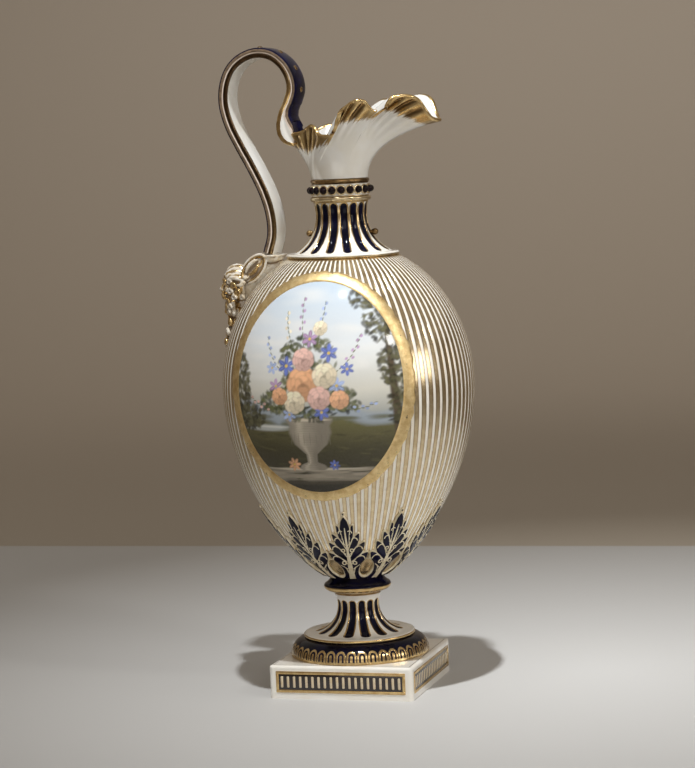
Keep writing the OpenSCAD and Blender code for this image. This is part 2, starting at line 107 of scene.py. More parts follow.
class Paint:
    def __init__(self, name):
        self.material = bpy.data.materials.new(name)
        self.material.use_nodes = True
        self.tree = self.material.node_tree
        self.shader = self.tree.nodes["Principled BSDF"]

    def node(self, kind, settings=None, sockets=None, out=0):
        made = self.tree.nodes.new("ShaderNode" + kind)
        for key, value in (settings or {}).items():
            setattr(made, key, value)
        for key, value in (sockets or {}).items():
            self.feed(made.inputs[key], value)
        return Wire(self, made.outputs[out])

    def feed(self, socket, value):
        if isinstance(value, Wire):
            self.tree.links.new(value.socket, socket)
        elif socket.type == "RGBA" and len(value) == 3:
            socket.default_value = (*value, 1)
        else:
            socket.default_value = value

    def use(self, **sockets):
        # baseColor feeds the shader's Base Color, and so on
        for key, value in sockets.items():
            words = "".join(" " + c if c.isupper() else c for c in key).title()
            self.feed(self.shader.inputs[words], value)

    def mix(self, share, a, b):
        return self.node("Mix", {"data_type": "RGBA"}, {0: share, 6: a, 7: b}, out=2)

    def place(self):
        # x, y and z in millimetres
        where = self.node("TexCoord", out=3)
        return [self.node("SeparateXYZ", sockets={0: where}, out=i) / mm for i in range(3)]

    def turn(self):
        # share of a full turn round the Z axis, counted from the front towards the lip
        x, y = self.place()[:2]
        return x.calc("ARCTAN2", y * -1.0) / fullTurn

    def noise(self, scale, detail=2.0, roughness=0.5, stretch=(1, 1, 1)):
        where = self.node("TexCoord", out=3)
        turned = self.node("Mapping", {}, {"Vector": where, "Scale": stretch})
        return self.node("TexNoise", {}, {"Vector": turned, "Scale": scale, "Detail": detail,
                                          "Roughness": roughness})

    def mark(self, name):
        return self.node("Attribute", {"attribute_name": name}, out=2)

    def bump(self, height, distance, strength=1.0):
        normal = self.node("Bump", {}, {"Height": height, "Distance": distance, "Strength": strength})
        self.tree.links.new(normal.socket, self.shader.inputs["Normal"])


finish = {
    "white": (0.82, 0.80, 0.755),
    "coolWhite": (0.90, 0.90, 0.875),
    "stripeWhite": (0.90, 0.87, 0.80),
    "innerShadeWhite": (0.72, 0.715, 0.69),
    "cobalt": (0.006, 0.006, 0.030),
    "cobaltDeep": (0.003, 0.0025, 0.007),
    "rich": ((0.52, 0.34, 0.14), (0.80, 0.60, 0.30)),
    "bright": ((0.64, 0.44, 0.19), (0.90, 0.72, 0.39)),
    "aged": ((0.13, 0.075, 0.03), (0.42, 0.28, 0.13)),
    "umber": ((0.05, 0.03, 0.016), (0.13, 0.08, 0.042)),
    "pale": ((0.61, 0.475, 0.28), (0.82, 0.685, 0.45)),
    "cream": ((0.66, 0.56, 0.37), (0.87, 0.79, 0.61)),
    "goldRough": 0.13,
    "goldGrain": 0.12,
    "glazeRough": 0.09,
    "coatRough": 0.03,
}


def gold(paint, tone):
    # burnished gilding: worn thin in places, with fine brush marks
    cloud = paint.noise(260, 4, 0.65)
    return paint.mix(cloud.rise(0.25, 0.75), *finish[tone])


def porcelain(paint, key="white"):
    cloud = paint.noise(60, 3, 0.55)
    pale = finish[key]
    warm = (pale[0] * 0.955, pale[1] * 0.93, pale[2] * 0.88)
    return paint.mix(cloud.rise(0.35, 0.7), pale, warm)


def cobalt(paint, strength=1.0):
    cloud = paint.noise(90, 3, 0.6)
    deep, light = (tuple(c * strength for c in finish[key]) for key in ("cobaltDeep", "cobalt"))
    return paint.mix(cloud.rise(0.3, 0.75), deep, light)


def glazed(paint, ground, glaze=0.5):
    paint.use(baseColor=ground, roughness=finish["glazeRough"])
    paint.use(coatWeight=glaze, coatRoughness=finish["coatRough"])
    paint.shader.inputs["Specular IOR Level"].default_value = glaze


def decorate(paint, ground, gilt, relief=None, tone="rich", metal=0.94, glaze=0.5, rough=0.0, coat=None):
    # glazed ground colour, with gilding where gilt is 1; tone is a finish or a colour wire
    grain = paint.noise(700, 3, 0.6)
    hue = gold(paint, tone) if isinstance(tone, str) else tone
    glazed(paint, paint.mix(gilt, ground, hue), glaze)
    duller = finish["goldRough"] + rough - finish["glazeRough"] + grain * finish["goldGrain"]
    paint.use(metallic=gilt * metal, roughness=gilt * duller + finish["glazeRough"])
    paint.use(coatWeight=(1 - gilt) * (glaze if coat is None else coat))
    height = grain * gilt * 0.03
    paint.bump(height if relief is None else height + relief, 0.0006, 0.5)


# Modelling helpers

def deselect():
    if bpy.context.object and bpy.context.object.mode != "OBJECT":
        bpy.ops.object.mode_set(mode="OBJECT")
    bpy.ops.object.select_all(action="DESELECT")


def pick(*pieces):
    # only these are selected, and the first is active
    deselect()
    for piece in pieces:
        piece.select_set(True)
    bpy.context.view_layer.objects.active = pieces[0]


def settle(piece, node, paint):
    # the piece takes the place of its node, with its own finish
    piece.data.materials.clear()
    piece.data.materials.append(paint.material)
    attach(piece, "root")
    if node:
        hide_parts(node)
    print("made", piece.name)


def smooth(piece, angle=40):
    pick(piece)
    bpy.ops.object.shade_smooth_by_angle(angle=math.radians(angle))


def weld(near=0.002, fill=False):
    # the active piece's seams and poles are closed, and its faces point outwards
    bpy.ops.object.mode_set(mode="EDIT")
    bpy.ops.mesh.select_mode(type="VERT")
    bpy.ops.mesh.select_all(action="SELECT")
    bpy.ops.mesh.remove_doubles(threshold=mm * near)
    if fill:
        bpy.ops.mesh.select_all(action="DESELECT")
        bpy.ops.mesh.select_non_manifold()
        bpy.ops.mesh.fill_holes(sides=0)
        bpy.ops.mesh.select_all(action="SELECT")
    bpy.ops.mesh.normals_make_consistent(inside=False)
    bpy.ops.object.mode_set(mode="OBJECT")


def turned(name, outline, steps=192, closed=True):
    # one vertex is drawn along the outline of (radius, height), then spun round the Z axis
    points = [Vector((0, -r, z)) * mm for r, z in outline]
    if closed:
        points.append(points[0])
    deselect()
    bpy.ops.mesh.primitive_plane_add(size=mm)
    piece = bpy.context.object
    piece.name = name
    bpy.ops.object.mode_set(mode="EDIT")
    bpy.ops.mesh.select_mode(type="VERT")
    bpy.ops.mesh.select_all(action="SELECT")
    bpy.ops.mesh.merge(type="CENTER")
    bpy.ops.transform.translate(value=points[0])
    for a, b in zip(points, points[1:]):
        bpy.ops.mesh.extrude_region_move(TRANSFORM_OT_translate={"value": b - a})
    bpy.ops.mesh.select_all(action="SELECT")
    bpy.ops.mesh.spin(steps=steps, angle=fullTurn, center=(0, 0, 0), axis=(0, 0, 1))
    weld(0.001)
    smooth(piece)
    return piece


def coords(piece):
    flat = np.zeros(len(piece.data.vertices) * 3)
    piece.data.vertices.foreach_get("co", flat)
    return flat.reshape(-1, 3) / mm


def setCoords(piece, points):
    piece.data.vertices.foreach_set("co", (np.asarray(points) * mm).ravel())
    piece.data.update()


def setMark(piece, name, values):
    mark = piece.data.attributes.new(name, "FLOAT", "POINT")
    mark.data.foreach_set("value", np.asarray(values, np.float32))


def gridSheet(name, columns, rows):
    # a flat grid to bend into shape, and the column and row of each of its points
    deselect()
    bpy.ops.mesh.primitive_grid_add(x_subdivisions=columns, y_subdivisions=rows, size=1)
    piece = bpy.context.object
    piece.name = name
    flat = coords(piece) * mm + 0.5
    return piece, np.rint(flat[:, 0] * columns).astype(int), np.rint(flat[:, 1] * rows).astype(int)


def joined(name, parts):
    pick(*parts)
    if len(parts) > 1:
        bpy.ops.object.join()
    parts[0].name = name
    return parts[0]


def copies(piece, count, first=0.0):
    # turned copies round the Z axis, joined into one piece
    made = [piece]
    for i in range(1, count):
        pick(piece)
        bpy.ops.object.duplicate(linked=False)
        other = bpy.context.object
        other.data.transform(Matrix.Rotation(first + fullTurn * i / count, 4, "Z"))
        made.append(other)
    if first:
        piece.data.transform(Matrix.Rotation(first, 4, "Z"))
    return joined(piece.name, made)


def deletePoints(piece, gone):
    pick(piece)
    bpy.ops.object.mode_set(mode="EDIT")
    bpy.ops.mesh.select_mode(type="VERT")
    bpy.ops.mesh.select_all(action="DESELECT")
    bpy.ops.object.mode_set(mode="OBJECT")
    piece.data.vertices.foreach_set("select", gone)
    bpy.ops.object.mode_set(mode="EDIT")
    bpy.ops.mesh.delete(type="VERT")
    bpy.ops.object.mode_set(mode="OBJECT")


def modify(piece, kind, **settings):
    # a modifier is added to the active piece, set and applied
    bpy.ops.object.modifier_add(type=kind)
    modifier = piece.modifiers[-1]
    for key, value in settings.items():
        setattr(modifier, key, value)
    bpy.ops.object.modifier_apply(modifier=modifier.name)


def arc(center, radius, start, end, steps):
    # points of (radius, height) on an arc, angles in degrees
    angles = [math.radians(start + (end - start) * i / steps) for i in range(steps + 1)]
    return [(center[0] + radius * math.cos(a), center[1] + radius * math.sin(a)) for a in angles]


def bezier(a, b, c, d, t):
    return a * (1 - t) ** 3 + 3 * b * t * (1 - t) ** 2 + 3 * c * t * t * (1 - t) + d * t ** 3


def catmull(points, t, closed=False):
    # places t on a smooth curve through the points, one step for each point
    i = np.floor(t).astype(int)
    if closed:
        a, b, c, d = (points[(i + k) % len(points)] for k in (-1, 0, 1, 2))
    else:
        i = np.minimum(i, len(points) - 2)
        padded = np.concatenate([[2 * points[0] - points[1]], points, [2 * points[-1] - points[-2]]])
        a, b, c, d = (padded[i + k] for k in range(4))
    f = (t - i)[:, None]
    return (2 * b + (c - a) * f + (2 * a - 5 * b + 4 * c - d) * f ** 2 + (3 * b - a - 3 * c + d) * f ** 3) / 2


# Camera, at the photograph's viewing angle

camera = {"azimuth": 16.884, "elevation": 5.698, "roll": 2.508, "distance": 1.3435, "aimX": -0.00068,
          "aimZ": 0.15786, "focalPixels": 2597.9, "imageHeight": 768, "sensor": 36}


def makeCamera():
    az, el, roll = (math.radians(camera[k]) for k in ("azimuth", "elevation", "roll"))
    back = Vector((math.sin(az) * math.cos(el), -math.cos(az) * math.cos(el), math.sin(el)))
    right = Vector((math.cos(az), math.sin(az), 0))
    up = back.cross(right)
    across = right * math.cos(roll) - up * math.sin(roll)
    upright = right * math.sin(roll) + up * math.cos(roll)
    deselect()
    bpy.ops.object.camera_add()
    eye = bpy.context.object
    turn = Matrix((across, upright, back)).transposed().to_4x4()
    at = Vector((0, 0, camera["aimZ"])) + right * camera["aimX"] + back * camera["distance"]
    eye.matrix_world = Matrix.Translation(at) @ turn
    eye.data.sensor_width = camera["sensor"]
    eye.data.lens = camera["focalPixels"] * camera["sensor"] / camera["imageHeight"]
    eye.data.clip_end = 50
    bpy.context.scene.camera = eye


makeCamera()


# Studio: a pale table top in a round room painted with shade low on its wall, a spot, soft cards, a low
# bounce and a wall wash

studio = {"tableColor": (0.50, 0.497, 0.49), "wallShadeLow": (0.40, 0.35, 0.285), "wallFar": (0.46, 0.40, 0.33),
          "tableEdge": 432, "tableSkew": 0.03, "tableReach": 1000, "wallFade": 430.0, "room": 2300,
          "bend": 900, "world": (0.30, 0.265, 0.225), "worldStrength": 1.0}
lamps = [  # place, what it points at, size and spread in degrees
    {"name": "spot", "at": (0.096, -0.472, 1.68), "aim": (0.12, 0.05, 0.0), "size": (0.04, 0.04),
     "spread": 30, "watts": 0.82, "tint": (0.97, 0.99, 1.0)},
    {"name": "frontRight", "at": (1.30, -0.69, 1.02), "aim": (0, 0, 0.17), "size": (0.2, 0.2),
     "spread": 40, "watts": 0.19, "tint": (1.0, 0.98, 0.95)},
    {"name": "frontCard", "at": (0.9, -1.9, 1.1), "aim": (0, 0, 0.2), "size": (1.8, 1.0),
     "spread": 180, "watts": 8, "tint": (1.0, 0.985, 0.96)},
    {"name": "sideRight", "at": (1.5, -0.1, 0.42), "aim": (0, 0, 0.16), "size": (0.7, 0.4),
     "spread": 50, "watts": 0.24, "tint": (1.0, 0.97, 0.92)},
    {"name": "floorBounce", "at": (0.15, -0.75, 0.03), "aim": (0, 0, 0.2), "size": (0.8, 0.25),
     "spread": 100, "watts": 0.2, "tint": (1.0, 0.96, 0.88)},
    {"name": "wallWash", "at": (0, 1.2, 2.2), "aim": (-0.2, 2.25, 0.5), "size": (1.6, 0.4),
     "spread": 80, "watts": 2.9, "tint": (1.0, 0.97, 0.93)},
]


def makeStudio():
    flat = studio["room"] - studio["bend"]
    bend = arc((flat, studio["bend"]), studio["bend"], -90, 0, 24)
    floor = turned("floor", [(0, 0), (400, 0), (900, 0)] + bend, steps=96, closed=False)
    paint = Paint("studioFloor")
    x, y, z = paint.place()
    far = (x * x + y * y).calc("SQRT")
    past = (y - x * studio["tableSkew"] - studio["tableEdge"]).most(far - studio["tableReach"])
    # painted shade: the room is painted darker near the table and low down, lighter further off and higher up
    outOfShade = far.rise(studio["tableEdge"], flat).most(z.rise(0.0, studio["wallFade"]))
    room = paint.mix(outOfShade, studio["wallShadeLow"], studio["wallFar"])
    paint.use(baseColor=paint.mix(past.rise(-3.0, 3.0), studio["tableColor"], room), roughness=0.6)
    floor.data.materials.append(paint.material)
    for lamp in lamps:
        bpy.ops.object.light_add(type="AREA", location=lamp["at"])
        light = bpy.context.object
        light.name = lamp["name"]
        light.visible_camera = False
        light.data.shape = "RECTANGLE"
        light.data.size, light.data.size_y = lamp["size"]
        light.data.energy = lamp["watts"]
        light.data.color = lamp["tint"]
        light.data.spread = math.radians(lamp["spread"])
        aim = Vector(lamp["aim"]) - light.location
        light.rotation_euler = aim.to_track_quat("-Z", "Y").to_euler()
    world = bpy.context.scene.world or bpy.data.worlds.new("studioWorld")
    bpy.context.scene.world = world
    world.use_nodes = True
    sky = world.node_tree.nodes["Background"]
    sky.inputs["Color"].default_value = (*studio["world"], 1)
    sky.inputs["Strength"].default_value = studio["worldStrength"]
    bpy.context.scene.view_settings.view_transform = "Standard"


makeStudio()
print("camera and studio set")


# Body: egg shape with gold stripes, in millimetres as all that follows

bodyLow, bodyHigh = span("body")
body = {"seat": 13.4, "mouth": 28.8, "topHeight": 67, "lowPull": 0.25, "lowLift": 0.073, "sidePull": 0.495,
        "wall": 3.6, "bore": 4, "hollowEnds": 6, "rimWide": 8, "stripes": 90, "whiteShare": 0.38,
        "turn": 45.5, "stripeLow": 71.3, "stripeTop": 223.4, "edgeShadeBrown": (0.26, 0.17, 0.08)}


def bodyOutline():
    # a long curve from the seat up to the widest place, then part of an ellipse to the shoulder
    radius, seat, top = bodyHigh.x, body["seat"], body["topHeight"]
    wide = bodyHigh.z - top
    reach = wide - bodyLow.z
    t = np.linspace(0, 1, 90)
    lowR = bezier(seat, seat + radius * body["lowPull"], radius, radius, t)
    lowZ = bezier(bodyLow.z, bodyLow.z + reach * body["lowLift"], wide - reach * body["sidePull"], wide, t)
    axis = top / math.sqrt(1 - (body["mouth"] / radius) ** 2)
    angle = np.linspace(0, math.asin(top / axis), 70)[1:]
    return np.concatenate([lowR, radius * np.cos(angle)]), np.concatenate([lowZ, wide + axis * np.sin(angle)])


bodyR, bodyZ = bodyOutline()
bodySlopeR = np.gradient(bodyR)
bodySlopeZ = np.gradient(bodyZ)
bodySlope = np.hypot(bodySlopeR, bodySlopeZ)


def onBody(angle, height, lift=0.0):
    # points lifted off the body's surface; angle in radians from the front towards the lip
    r = np.interp(height, bodyZ, bodyR)
    outR = np.interp(height, bodyZ, bodySlopeZ / bodySlope)
    outZ = np.interp(height, bodyZ, -bodySlopeR / bodySlope)
    reach = r + lift * outR
    return np.stack([reach * np.sin(angle), -reach * np.cos(angle), height + lift * outZ], -1)


def makeBody():
    outer = list(zip(bodyR[::2], bodyZ[::2]))
    if outer[-1][1] < bodyZ[-1]:
        outer.append((bodyR[-1], bodyZ[-1]))
    floor, roof = bodyLow.z + body["hollowEnds"], bodyHigh.z - body["hollowEnds"]
    inner = [(max(r - body["wall"], body["bore"]), z) for r, z in outer if floor < z < roof]
    outline = outer + [(body["mouth"] - body["rimWide"], bodyHigh.z)]
    outline += inner[::-1] + [(body["bore"], bodyLow.z)]
    piece = turned("body_shell", outline, steps=240)
    paint = Paint("stripedPorcelain")
    z = paint.place()[2]
    off = (paint.turn() - body["turn"] / 360).repeat(body["stripes"]).size()
    half = body["whiteShare"] / 2
    striped = z.rise(body["stripeLow"] - 0.3, body["stripeLow"] + 0.3)
    white = off.rise(half + 0.05, half - 0.05) * striped
    gilt = (1 - white).most(z.rise(body["stripeTop"] - 0.4, body["stripeTop"] + 0.4))
    # painted shade: the gold is painted browner along its edges, beside the raised white stripes
    edges = off.band(half + 0.03, half + 0.12, 0.03) * striped
    hue = paint.mix(edges * 0.55, gold(paint, "pale"), body["edgeShadeBrown"])
    decorate(paint, porcelain(paint, "stripeWhite"), gilt, relief=white * 0.5, tone=hue)
    settle(piece, "body", paint)


makeBody()


# Foot: the round moulding, the fluted trumpet and the knop

torus = {"swell": 8.3, "edge": 1.2, "chamfer": 0.4, "hollow": 16, "tongues": 40, "giltHigh": 1.5,
         "bowHigh": 4.4, "bow": (0.29, 0.46), "core": (0.14, 0.09)}


def makeTorus():
    low, high = span("foot_torus")
    radius = high.x
    middle = (radius - torus["swell"], low.z + torus["edge"])
    hollow, chamfer = torus["hollow"], torus["chamfer"]
    outline = [(hollow, low.z), (radius - chamfer, low.z), (radius, low.z + chamfer)]
    outline += arc(middle, torus["swell"], 0, 80, 26)
    outline += [(middle[0], high.z), (hollow, high.z)]
    piece = turned("foot_moulding", outline)
    paint = Paint("cobaltMoulding")
    z = paint.place()[2]
    edge = z.rise(low.z + torus["giltHigh"] + 0.2, low.z + torus["giltHigh"] - 0.2)
    # each tongue is a bow with a gilt core
    pitch = fullTurn * radius / torus["tongues"]
    across = paint.turn().repeat(torus["tongues"]) * pitch
    up = (z - (low.z + torus["bowHigh"])).most(0)
    far = (across * across + up * up).calc("SQRT") / pitch
    bow = far.band(*torus["bow"], 0.16 / pitch)
    decorate(paint, cobalt(paint), edge.most(bow).most(far.rise(*torus["core"])), relief=bow * 0.6, glaze=0.1)
    settle(piece, "foot_torus", paint)


makeTorus()


def capsule(across, along, low, high, half):
    # distance inside a groove with round ends, positive inside
    spare = np.clip(along, low + half, high - half)
    return half - np.hypot(across, along - spare)


def fluted(piece, mid, shape):
    # grooves are sunk along the hollow curve, and each vertex keeps its distance to a groove's edge
    cove, half = shape["cove"], shape["half"]
    points = coords(piece)
    r = np.hypot(points[:, 0], points[:, 1])
    turn = np.arctan2(points[:, 0], -points[:, 1]) / fullTurn
    cell = (turn * shape["flutes"] + 0.5) % 1 - 0.5
    along = np.arctan2(points[:, 2] - mid[1], mid[0] - r) * cove
    outside = np.abs(np.hypot(mid[0] - r, points[:, 2] - mid[1]) - cove) < 0.05
    low, high = (math.radians(a) * cove for a in shape["ends"])
    grow = r / r[outside].min()
    inside = capsule(cell * fullTurn * r / shape["flutes"], along, low, high, half * grow ** shape["widen"])
    inside = np.where(outside, inside, -5.0)
    share = np.clip(inside / half, 0, 1)
    sink = shape["depth"] * np.sqrt(1 - (1 - share) ** 2)
    toMid = np.stack([mid[0] - r, mid[1] - points[:, 2]], -1)
    toMid /= np.maximum(np.linalg.norm(toMid, axis=1), 1e-6)[:, None]
    scale = (r - toMid[:, 0] * sink) / np.maximum(r, 1e-6)
    points = np.stack([points[:, 0] * scale, points[:, 1] * scale, points[:, 2] - toMid[:, 1] * sink], -1)
    setCoords(piece, points)
    setMark(piece, "groove", inside)


def flutePaint(name, rim, line, wideLine):
    # a gilt line, wider towards the top, goes round each groove, and a gilt band round the rim
    paint = Paint(name)
    inside = paint.mark("groove")
    z = paint.place()[2]
    upper = z.rise(rim[0] - 22, rim[0] - 12)
    gilt = inside.band(-line, 0.1, 0.1).most(inside.band(-wideLine, 0.1, 0.1) * upper)
    groove = inside.rise(-0.1, 0.15)
    ground = paint.mix(groove, porcelain(paint), cobalt(paint, 0.8))
    decorate(paint, ground, gilt.most(z.band(*rim, 0.12)), glaze=0.12, coat=0.4 - groove * 0.34)
    return paint


stem = {"rim": 29, "rimThick": 2.3, "rimGilt": 1.9, "line": 0.5, "waist": 10.8, "cove": 14, "rise": 6,
        "flutes": 14, "half": 1.75, "depth": 0.9, "widen": 0.4, "ends": (-80, 12), "bore": 3.5, "recess": 13,
        "recessHigh": 4}


def makeStem():
    low, high = span("foot_stem")
    mid = (stem["waist"] + stem["cove"], low.z + stem["rimThick"] + stem["cove"])
    top = math.degrees(math.asin(stem["rise"] / stem["cove"]))
    thick = stem["rimThick"] / 2
    ceiling = low.z + stem["recessHigh"]
    outline = [(stem["recess"], low.z)] + arc((stem["rim"] - thick, low.z + thick), thick, -90, 90, 10)
    outline += arc(mid, stem["cove"], 269, 180 - top, 70)
    outline += [(stem["bore"], high.z), (stem["bore"], ceiling), (stem["recess"], ceiling)]
    piece = turned("trumpet_foot", outline, steps=stem["flutes"] * 26)
    fluted(piece, mid, stem)
    paint = flutePaint("fluteFoot", (low.z - 1, low.z + stem["rimGilt"]), stem["line"], stem["line"])
    settle(piece, "foot_stem", paint)


makeStem()

knop = {"edge": 1.9, "edgeHigh": 4.0, "bore": 3.5, "under": (11.9, 12.6), "underHigh": 0.9, "neck": 14.6,
        "neckDrop": 1.9, "giltHigh": 4.4}


def makeKnop():
    low, high = span("stem_knop")
    middle = (high.x - knop["edge"], low.z + knop["edgeHigh"])
    bore, under = knop["bore"], knop["under"]
    outline = [(bore, low.z), (under[0], low.z), (under[1], low.z + knop["underHigh"])]
    outline += arc(middle, knop["edge"], -70, 75, 20)
    outline += [(knop["neck"], high.z - knop["neckDrop"]), (body["seat"], high.z), (bore, high.z)]
    piece = turned("knop_disc", outline)
    paint = Paint("cobaltKnop")
    gilt = paint.place()[2].rise(low.z + knop["giltHigh"] + 0.2, low.z + knop["giltHigh"] - 0.2)
    decorate(paint, cobalt(paint), gilt, glaze=0.08)
    settle(piece, "stem_knop", paint)


makeKnop()


# Neck: gilt ring, fluted neck, jewelled collar, ball studs

neck = {"ringBore": 22, "waist": 13.15, "cove": 21.3, "rise": 7, "wall": 3.4, "flutes": 16, "half": 1.95,
        "depth": 0.9, "widen": -0.12, "ends": (-62, 16), "line": 0.4, "wideLine": 0.6, "rimGilt": 0.9}


def makeRing():
    low, high = span("shoulder_ring")
    tall = high.z - low.z
    bead = arc((high.x - tall / 2, low.z + tall / 2), tall / 2, -90, 90, 14)
    piece = turned("gilt_ring", [(neck["ringBore"], low.z)] + bead + [(neck["ringBore"], high.z)])
    paint = Paint("giltRing")
    gilt = paint.place()[2].rise(low.z + tall * 0.62, low.z + tall * 0.5)
    decorate(paint, porcelain(paint), gilt, tone="pale")
    settle(piece, "shoulder_ring", paint)


def makeNeck():
    low, high = span("neck")
    drop = high.z - neck["rise"] - low.z
    mid = (neck["waist"] + neck["cove"], low.z + drop)
    outer, inner = neck["cove"], neck["cove"] + neck["wall"]
    foot, footIn = (180 + math.degrees(math.asin(drop / r)) for r in (outer, inner))
    top, topIn = (180 - math.degrees(math.asin(neck["rise"] / r)) for r in (outer, inner))
    outline = arc(mid, outer, foot, top, 90) + arc(mid, inner, topIn, footIn, 24)
    piece = turned("fluted_neck", outline, steps=neck["flutes"] * 24)
    fluted(piece, mid, neck)
    paint = flutePaint("fluteNeck", (high.z - neck["rimGilt"], high.z + 1), neck["line"], neck["wideLine"])
    settle(piece, "neck", paint)


makeRing()
makeNeck()

collar = {"core": 14.7, "low": 15.7, "top": 15.2, "fillet": 2.4, "bore": 10.9, "beads": 20, "beadR": 2.05,
          "beadOut": 0.55, "settingR": 2.15, "settingThick": 0.5, "settingOut": 0.15,
          "stone": ((0.004, 0.002, 0.003), (0.014, 0.006, 0.008))}


def makeCollar():
    low, high = span("collar")
    step = collar["fillet"] / 2
    inset = collar["fillet"] + 0.1
    outline = [(collar["bore"], low.z), (collar["low"] - 0.5, low.z)]
    outline += arc((collar["low"] - step, low.z + step), step, -60, 90, 10)
    outline += [(collar["core"], low.z + inset), (collar["core"], high.z - inset)]
    outline += arc((collar["top"] - step, high.z - step), step, -90, 60, 10)
    outline += [(collar["bore"], high.z)]
    piece = turned("collar_band", outline)
    paint = Paint("giltCollar")
    middle = (low.z + high.z) / 2
    half = (high.z - low.z) / 2 - collar["fillet"]
    up = paint.place()[2] - middle
    # painted shade: the upper fillet's gold is painted darker than the lower fillet's
    hue = paint.mix(up.rise(-1, 1), gold(paint, "pale"), gold(paint, "aged"))
    decorate(paint, porcelain(paint), up.size().rise(half - 0.5, half - 0.2), tone=hue)
    settle(piece, "collar", paint)


def makeBeads():
    low, high = span("collar_beads")
    height = (low.z + high.z) / 2
    facing = (math.pi / 2, 0, 0)
    at = (0, -(collar["core"] + collar["beadOut"]) * mm, height * mm)
    deselect()
    bpy.ops.mesh.primitive_uv_sphere_add(segments=24, ring_count=14, radius=collar["beadR"] * mm,
                                         location=at, rotation=facing)
    bead = bpy.context.object
    bead.scale = (0.92, 0.92, 1.0)
    bpy.ops.object.transform_apply(location=True, rotation=True, scale=True)
    at = (0, -(collar["core"] + collar["settingOut"]) * mm, height * mm)
    deselect()
    bpy.ops.mesh.primitive_torus_add(major_segments=28, minor_segments=8, location=at, rotation=facing,
                                     major_radius=collar["settingR"] * mm,
                                     minor_radius=collar["settingThick"] * mm)
    ring = bpy.context.object
    bpy.ops.object.transform_apply(location=True, rotation=True, scale=True)
    for part, value in ((bead, 0.0), (ring, 1.0)):
        smooth(part, 60)
        setMark(part, "setting", np.full(len(part.data.vertices), value))
    piece = copies(joined("collar_jewels", [bead, ring]), collar["beads"])
    paint = Paint("jewels")
    stone = paint.mix(paint.noise(300).rise(0.3, 0.7), *collar["stone"])
    decorate(paint, stone, paint.mark("setting"), tone="pale", glaze=0.06, coat=0.2)
    settle(piece, "collar_beads", paint)


studs = {"stalk": 0.9, "stalkLong": 4.6, "metal": 0.94}


def makeKnobs():
    low, high = span("neck_knobs")
    ball = (high.z - low.z) / 2
    outline = [(0, -studs["stalkLong"]), (studs["stalk"], -studs["stalkLong"]), (studs["stalk"], -ball * 0.9)]
    outline += [(ball * 0.75, -ball * 0.86)] + arc((0, 0), ball, -40, 84, 14) + [(0.25, ball), (0, ball)]
    piece = turned("side_studs", outline, steps=28, closed=False)
    place = Matrix.Translation(Vector((high.x - ball, 0, (low.z + high.z) / 2)) * mm)
    piece.data.transform(place @ Matrix.Rotation(math.pi / 2, 4, "Y"))
    piece = copies(piece, 2)
    paint = Paint("giltStuds")
    grain = paint.noise(700, 3, 0.6)
    paint.use(baseColor=gold(paint, "aged"), metallic=studs["metal"])
    paint.use(roughness=finish["goldRough"] + grain * finish["goldGrain"])
    paint.bump(grain * 0.03, 0.0006, 0.5)
    settle(piece, "neck_knobs", paint)


makeCollar()
makeBeads()
makeKnobs()


# Lip: the frilled spout

lip = {"reach": 54.5, "halfWidth": 27, "height": 41, "root": 14.6, "back": 24, "wall": 3.0, "rimWall": 1.8,
       "rootSwell": 0.1, "rootLift": 0.39, "rimPull": (0.28, 0.37), "rimLift": (0.81, -0.17),
       "around": 648, "up": 64, "beadOut": 0.55, "giltDepth": 6.6, "giltLobe": 7.6, "giltEdge": 1.1,
       "pleat": 6.4, "pleatDeep": 0.9, "pleatFrom": 0.42, "pleatFull": 0.88, "shadow": (0.11, 0.055, 0.018),
       "patchX": -16.5, "patchZ": 16.5}
lipFrill = [  # shares of reach, half width and height, tens of degrees round the root, pleats' strength
    (1.0, 0, 0.66, 0, 0), (0.99, 0.12, 0.655, 0.6, 0), (0.955, 0.27, 0.69, 1.4, 0.1),
    (0.915, 0.4, 0.79, 2.1, 0.5), (0.875, 0.5, 0.9, 2.7, 1), (0.82, 0.59, 0.955, 3.2, 1),
    (0.73, 0.67, 0.97, 3.9, 1), (0.655, 0.715, 0.945, 4.7, 1), (0.61, 0.725, 0.88, 5.3, 0.7),
    (0.585, 0.725, 0.83, 5.8, 0.2), (0.5, 0.73, 0.81, 7, 0), (0.455, 0.75, 0.815, 7.6, 0),
    (0.428, 0.82, 0.87, 8.3, 0.5), (0.4, 0.92, 0.93, 9, 1), (0.32, 1, 0.935, 10, 1),
    (0.215, 0.97, 0.85, 10.9, 1),
    (0.155, 0.91, 0.73, 11.6, 0.8), (0.125, 0.875, 0.62, 12.1, 0.3), (0.085, 0.86, 0.55, 12.6, 0),
    (0.01, 0.83, 0.535, 13.3, 0), (-0.055, 0.785, 0.54, 13.9, 0), (-0.1, 0.735, 0.575, 14.3, 0.4),
    (-0.135, 0.675, 0.645, 14.7, 1), (-0.185, 0.605, 0.67, 15.1, 1), (-0.235, 0.52, 0.64, 15.5, 1),
    (-0.3, 0.44, 0.595, 16, 0.5), (-0.42, 0.3, 0.57, 17, 0.1), (-0.49, 0, 0.56, 18, 0)]


def lipRound():
    # the frill's points all the way round, their places in tens of degrees, and the pleats' strength
    table = np.array(lipFrill)
    half = table[:, :3] * [lip["reach"], lip["halfWidth"], lip["height"]]
    rim = np.concatenate([half * [1, -1, 1], half[-2:0:-1]])
    places = np.concatenate([table[:, 3], 36 - table[-2::-1, 3]])
    return rim, places, np.concatenate([table[:, 4], table[-2::-1, 4]])


